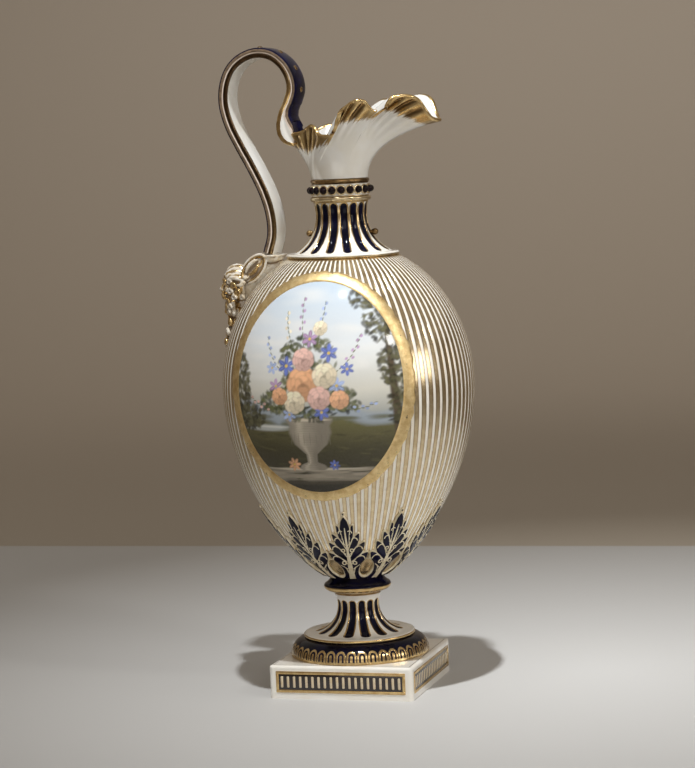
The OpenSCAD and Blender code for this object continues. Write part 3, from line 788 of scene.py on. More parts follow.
def lipSurface():
    rim, places = lipRound()[:2]
    around = lip["around"]
    j = np.arange(around)
    edge = catmull(rim, np.interp(j * 36 / around, places, np.arange(len(places))), closed=True)
    turn = fullTurn * j / around
    lean = ((1 - np.cos(turn)) / 2)[:, None]
    root = lip["root"] * np.stack([np.cos(turn), -np.sin(turn), np.zeros(around)], -1)
    run = edge * [1, 1, 0] - root
    rise = edge * [0, 0, 1]
    t = np.linspace(0, 1, lip["up"] + 1)[:, None, None]
    low = root * (1 + lip["rootSwell"] * lean) + rise * lip["rootLift"]
    pull, lift = (front + more * lean for front, more in (lip["rimPull"], lip["rimLift"]))
    return bezier(root, low, root + run * pull + rise * lift, edge, t)


def unit(vectors):
    return vectors / np.maximum(np.linalg.norm(vectors, axis=-1), 1e-9)[..., None]


def makeLip():
    low = span("spout")[0]
    outer = lipSurface()
    up, around = outer.shape[:2]
    along = np.gradient(outer, axis=0)
    normal = unit(np.cross(np.roll(outer, -1, 1) - np.roll(outer, 1, 1), along))
    share = np.linspace(0, 1, up)[:, None]
    # pleats stand below the rim on the outside of the lobes
    places, pleats = lipRound()[1:]
    lobe = np.interp(np.arange(around) * 36 / around, places, pleats)
    run = np.cumsum(np.linalg.norm(np.roll(outer[-1], -1, 0) - outer[-1], axis=1))
    wave = np.cos(fullTurn * np.minimum(run, run[-1] - run) / lip["pleat"])
    grown = np.clip((share - lip["pleatFrom"]) / (lip["pleatFull"] - lip["pleatFrom"]), 0, 1)
    fade = grown ** 1.4 * (1 - 0.8 * np.clip((share - 0.9) / 0.1, 0, 1))
    wall = (lip["wall"] + (lip["rimWall"] - lip["wall"]) * share)[:, :, None]
    inner = outer + normal * wall
    outer = outer - normal * (wave * lobe * fade * lip["pleatDeep"])[:, :, None]
    inner[0] = outer[0] * (1 - lip["wall"] / lip["root"])
    outer[:, :, 0] = np.maximum(outer[:, :, 0], -lip["back"])
    inner[:, :, 0] = np.maximum(inner[:, :, 0], -lip["back"] + lip["wall"])
    bead = (outer[-1] + inner[-1]) / 2 + unit(along[-1]) * lip["beadOut"]
    sheet = np.concatenate([outer, bead[None], inner[::-1]])
    rows = len(sheet)
    piece, column, row = gridSheet("frilled_lip", around, rows)
    column, row = column % around, row % rows
    setCoords(piece, sheet[row, column] + [0, 0, low.z])
    toRim = np.concatenate([np.linalg.norm(outer[-1] - outer, axis=2), np.zeros((1, around)),
                            np.linalg.norm(inner[-1] - inner, axis=2)[::-1]])
    setMark(piece, "toRim", toRim[row, column])
    setMark(piece, "inside", np.where(row > up, 1.0, 0.0))
    setMark(piece, "round", column / around)
    setMark(piece, "lobe", lobe[column])
    setMark(piece, "pleat", (wave * lobe)[column])
    weld()
    smooth(piece, 70)
    paint = Paint("frilledLip")
    toRim, inside = paint.mark("toRim"), paint.mark("inside")
    # the gilding runs down in brush streaks, deeper on the lobes
    streak = paint.node("TexNoise", {"noise_dimensions": "1D"},
                        {"W": paint.mark("round") * 110.0, "Scale": 1.0, "Detail": 3.0, "Roughness": 0.65})
    deep = toRim - (streak - 0.5) * 9.0 - paint.mark("lobe") * lip["giltLobe"]
    x, y, z = paint.place()
    patch = x.rise(lip["patchX"] + 1, lip["patchX"] - 1)
    patch = patch * z.rise(low.z + lip["patchZ"] - 1, low.z + lip["patchZ"] + 1)
    gilt = deep.rise(lip["giltDepth"] + 1.6, lip["giltDepth"] - 1.8).most(patch) * (1 - inside)
    gilt = gilt.most(toRim.rise(lip["giltEdge"] + 0.2, lip["giltEdge"] - 0.2))
    # painted shade: the inside of the lip is painted a darker white than its outside
    ground = paint.mix(inside, porcelain(paint, "coolWhite"), finish["innerShadeWhite"])
    decorate(paint, ground, gilt)
    # painted shade: the gilding is painted darker between the pleats
    shadow = paint.mark("pleat").rise(0.45, -0.5) * gilt * toRim.rise(0.5, 1.6)
    hue = Wire(paint, paint.shader.inputs["Base Color"].links[0].from_socket)
    paint.use(baseColor=paint.mix(shadow * 0.85, hue, lip["shadow"]))
    settle(piece, "spout", paint)


makeLip()


# Handle: a strap swept along its swan-neck line

strap = {"reach": 58.4, "thick": 5.4, "wide": 17, "steps": 10, "tail": 24, "bury": 1.3, "edge": 1.6,
         "studFirst": 6.0, "studGap": 11.5, "studR": 1.5, "studShape": (0.62, 1.25, 1.0),
         "lightFrom": (2.0, 3.2), "giltLine": (0.15, 2.6), "giltX": (-36.0, -28.0), "giltZ": (272.0, 313.0),
         "footGilt": (262.0, 240.0), "lightLine": (0.82, 0.71, 0.62),
         "band": ((0.13, 0.092, 0.062), (0.25, 0.18, 0.12))}
strapLine = [(-0.652, 0), (-0.608, 0.09), (-0.613, 0.19), (-0.665, 0.3), (-0.76, 0.42), (-0.865, 0.535),
             (-0.952, 0.64), (-1, 0.745), (-0.993, 0.835), (-0.94, 0.915), (-0.845, 0.97), (-0.71, 1),
             (-0.565, 0.992), (-0.45, 0.945), (-0.382, 0.877), (-0.368, 0.81), (-0.404, 0.747)]
strapEnd = [  # inner and outer edge where the strap spreads to meet the lip
    ((-26.8, 303.2), (-21.3, 302.9)), ((-28.6, 299.9), (-22.7, 299.6)), ((-29.8, 296.5), (-23.0, 297.0)),
    ((-30.6, 293.1), (-22.0, 294.4)), ((-30.7, 290.2), (-20.6, 291.8)), ((-30.2, 287.4), (-19.2, 289.6)),
    ((-28.8, 284.8), (-18.6, 287.9)), ((-27.0, 283.1), (-18.6, 286.2)), ((-24.2, 281.8), (-19.2, 284.6)),
    ((-21.6, 281.2), (-20.3, 283.0))]
strapSide = [  # the moulded edge: depth from the side, share of the way from inner to outer face
    (0.5, 0.97), (0.14, 0.86), (0, 0.72), (0.1, 0.62), (0.36, 0.56), (0.36, 0.46), (0.1, 0.4), (0, 0.25),
    (0.14, 0.12), (0.5, 0.03)]


def strapPath():
    low, high = span("handle")
    tall = high.z - low.z - strap["thick"] / 2
    points = np.array([(x * strap["reach"], low.z + y * tall) for x, y in strapLine])
    return catmull(points, np.linspace(0, len(points) - 1, (len(points) - 1) * strap["steps"] + 1))


def lipBack(y, z):
    # how far back the lip's wall lies at a point of the strap's end
    wall = lipSurface().reshape(-1, 3) + [0, 0, span("spout")[0].z]
    wall = wall[wall[:, 0] < -6]
    near = np.argmin((wall[None, :, 1] - y[:, None]) ** 2 + (wall[None, :, 2] - z[:, None]) ** 2, axis=1)
    return np.maximum(wall[near, 0], -lip["back"])


def strapEdges():
    path = strapPath()
    along = unit(np.gradient(path, axis=0))
    outward = np.stack([-along[:, 1], along[:, 0]], -1) * strap["thick"] / 2
    end = np.array(strapEnd)
    t = np.linspace(0, len(end) - 1, 4 * (len(end) - 1) + 1)
    fine = np.stack([[np.interp(t, np.arange(len(end)), end[:, k, i]) for i in (0, 1)] for k in (0, 1)])
    return np.concatenate([path - outward, fine[0].T[1:]]), np.concatenate([path + outward, fine[1].T[1:]])


def makeHandle():
    inner, outer = strapEdges()
    half = strap["wide"] / 2
    # across the strap: place over the width, share of the way from inner to outer face
    edge = half - strap["edge"]
    section = [(-edge, 1.0), (-half / 2, 1.03), (0, 1.04), (half / 2, 1.03), (edge, 1.0)]
    section += [(half - x, y) for x, y in strapSide] + [(edge, 0.0), (0, 0.04), (-edge, 0.0)]
    section = np.array(section + [(-half + x, y) for x, y in strapSide[::-1]])
    rows, around, tail = len(inner), len(section), strap["tail"]
    flat = inner[:, None] + (outer - inner)[:, None] * section[None, :, 1:2]
    side = np.broadcast_to(section[None, :, 0], flat.shape[:2])
    points = np.stack([flat[:, :, 0], side, flat[:, :, 1]], -1)
    last = points[-tail:].reshape(-1, 3)
    last[:, 0] = np.minimum(last[:, 0], lipBack(last[:, 1], last[:, 2]) + strap["bury"])
    points[-tail:] = last.reshape(tail, around, 3)
    wide = np.linalg.norm(outer - inner, axis=1)[:, None]
    piece, column, row = gridSheet("swan_strap", around, rows - 1)
    column = column % around
    setCoords(piece, points[row, column])
    setMark(piece, "fromInner", (section[None, :, 1] * wide)[row, column])
    setMark(piece, "fromBack", ((1 - section[None, :, 1]) * wide)[row, column])
    setMark(piece, "across", np.abs(section[column, 0]))
    weld(fill=True)
    smooth(piece, 50)
    paint = Paint("strapHandle")
    fromInner, fromBack = paint.mark("fromInner"), paint.mark("fromBack")
    onSide = paint.mark("across").rise(half - 1.4, half - 1.0)
    # from the cobalt back inwards: a muted band, a light line, the gilt edge
    back = fromBack.rise(0.9, 0.7)
    line = fromBack.band(*strap["lightFrom"], 0.2) * onSide
    ground = paint.mix(line, porcelain(paint, "coolWhite"), strap["lightLine"])
    band = paint.mix(paint.noise(420, 3, 0.6).rise(0.3, 0.7), *strap["band"])
    ground = paint.mix(fromBack.rise(2.3, 2.1) * onSide, ground, band)
    ground = paint.mix(back, ground, cobalt(paint, 1.5))
    gilt = fromInner.band(*strap["giltLine"], 0.12) * onSide
    x, y, z = paint.place()
    nearLip = x.rise(*strap["giltX"]) * z.band(*strap["giltZ"], 8.0)
    bright = nearLip + z.rise(*strap["footGilt"]) * 0.2
    hue = paint.mix(bright, gold(paint, "umber"), gold(paint, "rich"))
    decorate(paint, ground, gilt, tone=hue, glaze=0.04, coat=(1 - back) * 0.4)
    settle(piece, "handle", paint)


def makeStuds():
    # low gilt studs down the strap's cobalt back
    inner, outer = strapEdges()
    run = np.concatenate([[0], np.cumsum(np.linalg.norm(np.diff(outer, axis=0), axis=1))])
    last = run[np.argmin(np.hypot(*(outer - strapEnd[0][1]).T))]
    parts = []
    for far in np.arange(strap["studFirst"], last, strap["studGap"]):
        x, z = (float(np.interp(far, run, outer[:, i])) for i in (0, 1))
        i = int(np.argmin(np.abs(run - far)))
        outward = outer[i] - inner[i]
        deselect()
        bpy.ops.mesh.primitive_uv_sphere_add(segments=20, ring_count=12, radius=strap["studR"] * mm)
        stud = bpy.context.object
        bpy.ops.object.mode_set(mode="EDIT")
        bpy.ops.transform.resize(value=strap["studShape"])
        bpy.ops.object.mode_set(mode="OBJECT")
        lean = Matrix.Rotation(math.atan2(-outward[1], outward[0]), 4, "Y")
        stud.data.transform(Matrix.Translation(Vector((x, 0, z)) * mm) @ lean)
        parts.append(stud)
    piece = joined("strap_studs", parts)
    smooth(piece, 60)
    paint = Paint("giltStrapStuds")
    decorate(paint, porcelain(paint), paint.noise(300, 3).rise(0.15, 0.25), tone="aged")
    settle(piece, "handle_husks", paint)


makeHandle()
makeStuds()


# Oval picture on the front: a painted sheet in a raised gilt frame

oval = {"height": 161.7, "halfWide": 43.4, "halfHeight": 52.5, "margin": 1.02, "cut": 1.035, "lift": 0.12,
        "thick": 0.4, "columns": 220, "rows": 250, "frame": 4.8, "frameHigh": 0.6, "frameLift": 0.14,
        "frameThick": 0.5, "frameAround": 288, "frameAcross": 12, "overlap": 0.008,
        "worn": (0.16, 0.10, 0.04)}


def ovalPoint(across, up, lift):
    # across and up go from -1 to 1 over the oval, which is even when seen from the front
    height = oval["height"] + up * oval["halfHeight"]
    side = across * oval["halfWide"] / np.interp(height, bodyZ, bodyR)
    return onBody(np.arcsin(np.clip(side, -0.99, 0.99)), height, lift)


class Canvas:
    # a sheet of colour values in millimetres that is painted with soft dabs
    def __init__(self, halfWide, halfTall, columns, rows):
        self.x = np.linspace(-halfWide, halfWide, columns)
        self.y = np.linspace(-halfTall, halfTall, rows)
        self.color = np.zeros((rows, columns, 3))

    def wash(self, colors):
        # horizontal bands of colour, given as (height, colour)
        heights = [h for h, c in colors]
        for i in range(3):
            self.color[:, :, i] = np.interp(self.y, heights, [c[i] for h, c in colors])[:, None]

    def dab(self, x, y, wide, tall, turn, color, strength=1.0, soft=0.35):
        reach = max(wide, tall) * 1.1
        i0, i1 = np.searchsorted(self.x, (x - reach, x + reach))
        j0, j1 = np.searchsorted(self.y, (y - reach, y + reach))
        if i0 == i1 or j0 == j1:
            return
        dx = self.x[None, i0:i1] - x
        dy = self.y[j0:j1, None] - y
        c, s = math.cos(turn), math.sin(turn)
        far = np.hypot((dx * c + dy * s) / wide, (dy * c - dx * s) / tall)
        share = np.clip((1 - far) / soft, 0, 1)[:, :, None] * strength
        spot = self.color[j0:j1, i0:i1]
        self.color[j0:j1, i0:i1] = spot * (1 - share) + np.array(color) * share


def shade(color, factor):
    return tuple(min(1.0, c * factor) for c in color)


def paintFoliage(canvas, rnd, x, y, wide, tall, count, colors):
    # leaf dabs, dark ones first and lit ones on top
    for i in range(count):
        t = i / count
        a, r = rnd.uniform(0, fullTurn), math.sqrt(rnd.random())
        color = colors[min(int(t * len(colors)), len(colors) - 1)]
        px, py = x + wide * r * math.cos(a), y + tall * r * math.sin(a) + tall * 0.12 * t
        canvas.dab(px, py, rnd.uniform(1.3, 2.8), rnd.uniform(0.8, 1.5), rnd.uniform(0, 3.1),
                   shade(color, rnd.uniform(0.8, 1.25)), 0.75, 0.6)


def paintRose(canvas, rnd, x, y, size, color):
    # petals from the outside in, each with a lit edge
    canvas.dab(x, y, size * 1.02, size * 0.95, 0, shade(color, 0.62), 0.95, 0.25)
    for ring, petals in ((0.68, 7), (0.45, 6), (0.22, 4)):
        first = rnd.uniform(0, 6)
        for i in range(petals):
            a = first + i * fullTurn / petals
            outX, outY = size * math.cos(a), size * math.sin(a)
            lit = 1.0 + 0.22 * math.sin(a) - 0.1 * math.cos(a)
            petal = size * (0.46 - 0.12 * (0.68 - ring))
            turn = a + math.pi / 2
            canvas.dab(x + outX * ring, y + outY * ring, petal, petal * 0.72, turn,
                       shade(color, 0.72 * lit), 0.9, 0.3)
            rim = ring + 0.07
            canvas.dab(x + outX * rim, y + outY * rim, petal * 0.86, petal * 0.5, turn,
                       shade(color, 1.12 * lit), 0.8, 0.4)
    canvas.dab(x, y - size * 0.05, size * 0.16, size * 0.13, 0, shade(color, 0.5), 0.85, 0.5)


def paintStar(canvas, rnd, x, y, size, color, petals=6):
    first = rnd.uniform(0, 6)
    for i in range(petals):
        a = first + i * fullTurn / petals
        px, py = x + size * 0.55 * math.cos(a), y + size * 0.55 * math.sin(a)
        canvas.dab(px, py, size * 0.5, size * 0.27, a, shade(color, rnd.uniform(0.75, 1.2)), 0.95, 0.35)
        canvas.dab(px, py, size * 0.36, size * 0.06, a, shade(color, 1.6), 0.6, 0.5)
    canvas.dab(x, y, size * 0.2, size * 0.2, 0, picture["pollen"], 1, 0.4)


def paintSpray(canvas, rnd, x, y, turn, length, color):
    # a stem with small buds towards its end
    for i in range(9):
        t = i / 8
        bend = turn + 0.5 * t * math.cos(turn)
        px, py = x + length * t * math.cos(bend), y + length * t * math.sin(bend)
        canvas.dab(px, py, 1.3, 0.35, bend, picture["stalk"], 0.9, 0.5)
        if t > 0.35:
            side = (1 if i % 2 else -1) * (1.6 - t)
            canvas.dab(px - side * math.sin(bend), py + side * math.cos(bend), 1.05, 0.8, bend,
                       shade(color, rnd.uniform(0.8, 1.3)), 0.95, 0.4)


def paintUrn(canvas, x, foot, tall):
    # a low stone vase, lit from the left
    stone = picture["stone"]
    heights, halves = zip(*picture["urn"])
    for i in range(90):
        t = i / 89
        half = tall * float(np.interp(t, heights, halves))
        y = foot + tall * t
        canvas.dab(x, y, half, tall * 0.022, 0, shade(stone, 0.5), 1, 0.15)
        canvas.dab(x - half * 0.22, y, half * 0.72, tall * 0.022, 0, stone, 0.9, 0.7)
        canvas.dab(x - half * 0.42, y, half * 0.26, tall * 0.022, 0, shade(stone, 1.5), 0.7, 0.9)
    for i in range(9):
        a = (i - 4) / 4.5
        canvas.dab(x + tall * 0.4 * math.sin(a * 1.4), foot + tall * 0.6, tall * 0.012, tall * 0.15, 0.1 * a,
                   shade(stone, 0.42), 0.6, 0.6)
    canvas.dab(x, foot + tall * 0.97, tall * 0.5, tall * 0.03, 0, shade(stone, 1.45), 0.8, 0.4)


picture = {
    "seed": 7,
    "wash": [(-54, (0.012, 0.010, 0.006)), (-30, (0.055, 0.05, 0.02)), (-15, (0.16, 0.15, 0.06)),
             (-13, (0.40, 0.42, 0.40)), (0, (0.70, 0.69, 0.62)), (22, (0.72, 0.76, 0.79)),
             (54, (0.50, 0.61, 0.73))],
    "cloud": (0.83, 0.82, 0.79), "hill": (0.36, 0.42, 0.49), "hedge": (0.13, 0.135, 0.07),
    "water": (0.56, 0.60, 0.60), "glint": (0.80, 0.80, 0.76), "grass": (0.075, 0.07, 0.026),
    "bark": (0.075, 0.052, 0.03), "ledge": (0.36, 0.32, 0.25), "ledgeLit": (0.62, 0.57, 0.46),
    "ledgeDark": (0.06, 0.05, 0.03), "stone": (0.50, 0.45, 0.36), "stalk": (0.11, 0.13, 0.04),
    "pollen": (0.72, 0.52, 0.12),
    "urn": [(0.0, 0.30), (0.08, 0.27), (0.14, 0.11), (0.3, 0.12), (0.5, 0.36), (0.72, 0.46), (0.86, 0.44),
            (0.94, 0.5), (1.0, 0.5)],
    "treeTones": [(0.012, 0.011, 0.006), (0.03, 0.028, 0.012), (0.06, 0.057, 0.024), (0.12, 0.115, 0.055)],
    "leafTones": [(0.012, 0.017, 0.008), (0.03, 0.04, 0.015), (0.07, 0.085, 0.03), (0.14, 0.15, 0.06)],
    # middle, half sizes and count of dabs
    "trees": [(37, 34, 13, 14, 230), (41, 12, 9, 14, 170), (44, -10, 8, 10, 110), (28, 44, 12, 6, 110),
              (-42, 0, 7, 17, 230), (-36, -14, 10, 6, 120)],
    "leaves": [(-2, -4, 19, 12, 240), (-2, 14, 15, 12, 170), (-20, -6, 8, 6, 80), (16, -6, 8, 6, 80)],
}
petalHues = {"peach": (0.74, 0.40, 0.22), "cream": (0.80, 0.70, 0.52), "blush": (0.72, 0.46, 0.40),
             "blue": (0.12, 0.17, 0.50), "mauve": (0.42, 0.27, 0.46), "pale": (0.36, 0.45, 0.72)}
sprays = [(-4, 22, 1.75, 22, "mauve"), (3, 22, 1.35, 20, "pale"), (-14, 8, 2.5, 20, "pale"),
          (13, 9, 0.6, 20, "mauve"), (-18, -8, 3.4, 16, "blush"), (15, -9, -0.35, 16, "pale"),
          (-9, 20, 2.1, 18, "cream")]
stars = [(-13, 12, 5.0, "blue"), (9, 18, 4.8, "blue"), (13, 2, 4.4, "pale"), (-19, 2, 4.0, "mauve"),
         (-1, 25, 4.4, "mauve"), (5, -11, 4.2, "blue"), (-12, -12, 3.8, "pale"), (18, 10, 3.6, "blue"),
         (-21, 11, 3.4, "pale")]
roses = [(-4, 3, 9.2, "peach"), (7, 7, 6.6, "cream"), (-9, -6, 6.0, "cream"), (4, -4, 6.2, "blush"),
         (-4, 15, 6.0, "blush"), (14, -5, 5.0, "peach"), (-17, -3, 4.6, "peach"), (4, 30, 3.8, "cream")]
fallen = [(-12, -37.5, 3.6, "peach"), (9, -38, 2.8, "blue")]


def paintPicture():
    # a vase of garden flowers before an open landscape
    canvas = Canvas(oval["halfWide"] * oval["margin"], oval["halfHeight"] * oval["margin"],
                    oval["columns"] + 1, oval["rows"] + 1)
    rnd = random.Random(picture["seed"])
    draw = rnd.uniform
    canvas.wash(picture["wash"])
    for i in range(70):
        canvas.dab(draw(-48, 40), draw(6, 50), draw(5, 15), draw(1.6, 4), draw(-0.2, 0.2),
                   picture["cloud"], 0.28, 0.9)
    for i in range(26):
        y = -12 + 3.4 * math.sin(i * 0.55) + draw(-0.6, 0.6)
        canvas.dab(-48 + i * 4, y, 7, 4.2, 0, picture["hill"], 0.75, 0.6)
    for i in range(40):
        canvas.dab(draw(-48, 48), draw(-17, -13), draw(3, 8), 1.2, 0, picture["hedge"], 0.6, 0.7)
    canvas.dab(-26, -19, 17, 2.2, 0, picture["water"], 0.85, 0.5)
    canvas.dab(-22, -18.4, 12, 0.7, 0, picture["glint"], 0.7, 0.6)
    for i in range(160):
        canvas.dab(draw(-48, 48), draw(-52, -22), draw(2, 6), draw(0.4, 1.0), draw(-0.2, 0.2),
                   shade(picture["grass"], draw(0.5, 1.9)), 0.55, 0.7)
    for i in range(60):
        t = i / 59
        canvas.dab(41 - 7 * t * t, -36 + 70 * t, 3.4 * (1 - 0.6 * t), 2.0, 0.1,
                   shade(picture["bark"], 0.8 + 0.5 * rnd.random()), 0.95, 0.5)
    for tree in picture["trees"]:
        paintFoliage(canvas, rnd, *tree, picture["treeTones"])
    for i in range(80):
        canvas.dab(draw(-30, 26), draw(-46.5, -40), draw(4, 9), 0.9, 0,
                   shade(picture["ledge"], draw(0.6, 1.2)), 0.8, 0.4)
    canvas.dab(-2, -40, 30, 0.8, 0, picture["ledgeLit"], 0.9, 0.4)
    canvas.dab(-2, -47, 30, 1.6, 0, picture["ledgeDark"], 0.8, 0.6)
    paintUrn(canvas, -2, -40, 26)
    for bunch in picture["leaves"]:
        paintFoliage(canvas, rnd, *bunch, picture["leafTones"])
    for x, y, turn, length, color in sprays:
        paintSpray(canvas, rnd, x, y, turn, length, petalHues[color])
    for x, y, size, color in stars:
        paintStar(canvas, rnd, x, y, size, petalHues[color])
    for x, y, size, color in roses:
        paintRose(canvas, rnd, x, y, size, petalHues[color])
    for x, y, size, color in fallen:
        paintStar(canvas, rnd, x, y, size, petalHues[color], 7)
    return canvas.color


def makePicture():
    columns, rows = oval["columns"], oval["rows"]
    piece, column, row = gridSheet("oval_picture", columns, rows)
    across = (column / columns * 2 - 1) * oval["margin"]
    up = (row / rows * 2 - 1) * oval["margin"]
    setCoords(piece, ovalPoint(across, up, oval["lift"]))
    color = paintPicture()[row, column]
    layer = piece.data.attributes.new("painted", "FLOAT_COLOR", "POINT")
    color = np.concatenate([color, np.ones((len(color), 1))], 1)
    layer.data.foreach_set("color", color.astype(np.float32).ravel())
    deletePoints(piece, across ** 2 + up ** 2 > oval["cut"])
    modify(piece, "SOLIDIFY", thickness=oval["thick"] * mm, offset=-1)
    smooth(piece, 60)
    paint = Paint("enamelPicture")
    hue = paint.node("Attribute", {"attribute_name": "painted"}, out=0)
    stroke = paint.noise(900, 4, 0.7)
    paint.use(baseColor=paint.mix(0.05, hue, paint.mix(stroke, (0.1, 0.08, 0.05), (0.9, 0.86, 0.8))))
    paint.use(roughness=0.05 + stroke * 0.05, coatWeight=0.1 + stroke * 0.05)
    paint.shader.inputs["Specular IOR Level"].default_value = 0.3
    paint.bump(stroke, 0.00004, 0.2)
    settle(piece, None, paint)


def makeFrame():
    around, across = oval["frameAround"], oval["frameAcross"]
    piece, column, row = gridSheet("oval_frame", around, across)
    angle = column / around * fullTurn
    share = row / across
    # the hump rises steeply on the inside and feathers out; its outer edge wavers as tooled gold does
    ripple = 0.5 * np.sin(angle * 31) * np.sin(angle * 7 + 1) + 0.35 * np.sin(angle * 53 + 2)
    width = share * (oval["frame"] + np.where(share > 0.5, ripple * (share - 0.5), 0))
    wide = 1 + width / oval["halfWide"] - oval["overlap"]
    tall = 1 + width / oval["halfHeight"] - oval["overlap"]
    lift = oval["frameLift"] + oval["frameHigh"] * np.sin(np.pi * share) ** 0.45
    lift = lift + 0.09 * np.sin(angle * 144) * (np.abs(share - 0.5) < 0.3)
    setCoords(piece, ovalPoint(np.cos(angle) * wide, np.sin(angle) * tall, lift))
    setMark(piece, "share", share)
    weld()
    modify(piece, "SOLIDIFY", thickness=oval["frameThick"] * mm, offset=-1)
    smooth(piece, 60)
    paint = Paint("tooledGold")
    chased = paint.noise(420, 3, 0.65)
    worn = chased.rise(0.6, 0.7) * paint.mark("share").rise(0.2, 0.5) * 0.7
    decorate(paint, oval["worn"], 1 - worn, relief=chased * 0.5, tone="bright", rough=0.25)
    settle(piece, None, paint)


makePicture()
makeFrame()


# Leaves round the body's foot

leaf = {"count": 10, "first": 10.0, "low": 60.2, "high": 100.5, "thick": 1.15, "columns": 80, "rows": 104,
        "line": 0.5, "eggHigh": 5.9, "eggHalf": (3.3, 5.0), "bandHigh": 11.5, "bandWide": 1.5,
        "footHigh": 3.0, "eggSlope": 3.6, "cut": -0.12, "back": 0.5, "snap": 0.28, "domeRun": 1.3,
        "lift": 0.12, "veinHigh": 0.22, "eyeLine": 0.3, "hookLine": 0.26}
leafLobes = [  # root, bend, tip, half width at root, middle and tip; later ones lie on top
    ((0, 1.0), (0, 12.0), (0, 27.0), 2.6, 4.6, 1.4), ((0.6, 1.0), (4.6, 3.6), (4.0, 10.6), 1.5, 2.1, 1.0),
    ((0.8, 7.0), (4.6, 11.0), (9.4, 15.2), 1.3, 2.5, 1.05),
    ((0.8, 11.6), (4.6, 15.8), (8.6, 21.2), 1.3, 2.5, 1.0),
    ((0.6, 15.8), (3.4, 20.4), (6.5, 26.2), 1.1, 2.25, 0.95),
    ((0.3, 19.4), (1.8, 24.6), (3.9, 31.0), 1.0, 2.0, 0.9),
    ((0, 21.5), (0, 29.4), (0, 35.6), 1.6, 2.9, 0.9), ((0, 37.5), (0, 37.6), (0, 37.7), 0.9, 0.9, 0.9),
]
leafRib = ((0, 0), (0, 14), (0, 30), 1.5, 0.62, 0.3)
leafEyes = [((2.2, 17.4), 1.15), ((2.6, 10.0), 1.2)]  # small gilt rings: middle and radius
leafHooks = [((6.4, 12.6), 1.5), ((6.0, 18.4), 1.4), ((4.4, 23.4), 1.2), ((2.3, 27.6), 1.0)]


def toLobe(x, up, root, bend, tip, rootHalf, wide, tipHalf):
    # how far inside a bent drop-shaped lobe a point lies, positive inside
    inside = np.full(len(x), -9.0)
    halves = (rootHalf, (rootHalf + wide) / 2, wide, (wide * 2 + tipHalf) / 3, tipHalf)
    for t in np.linspace(0, 1, 41):
        px, py = (root[i] * (1 - t) ** 2 + 2 * bend[i] * t * (1 - t) + tip[i] * t * t for i in (0, 1))
        inside = np.maximum(inside, np.interp(t, (0, 0.3, 0.55, 0.8, 1), halves) - np.hypot(x - px, up - py))
    return inside


def inLeaf(turn, height):
    # distance inside the whole leaf, and inside its topmost lobe at each point
    r = np.interp(height, bodyZ, bodyR)
    x, up = np.abs(turn) * r, height - leaf["low"]
    whole = np.full(len(x), -9.0)
    top = whole.copy()
    for lobe in leafLobes:
        inside = toLobe(x, up, *lobe)
        whole = np.maximum(whole, inside)
        top = np.where(inside > 0, inside, np.maximum(top, inside))
    # a cobalt band with an egg-shaped opening joins each leaf to the next
    eggX = (math.pi / leaf["count"] * r - x) / leaf["eggHalf"][0]
    eggUp = (up - leaf["eggHigh"]) / leaf["eggHalf"][1]
    egg = (np.hypot(eggX, eggUp) - 1) * leaf["eggSlope"]
    band = np.minimum(egg, np.minimum(leaf["bandWide"] - egg, leaf["bandHigh"] - up))
    band = np.maximum(band, np.minimum(leaf["footHigh"] - up, egg))
    whole = np.where(egg < 0, np.minimum(whole, egg), np.maximum(whole, band))
    lowEgg = np.where(up < leaf["bandHigh"], egg, 9)
    return whole, np.where(egg < 0, egg, np.minimum(np.maximum(top, band), lowEgg))


def dome(depth):
    share = np.clip(depth / leaf["domeRun"], 0, 1)
    return np.sqrt(share * (2 - share))


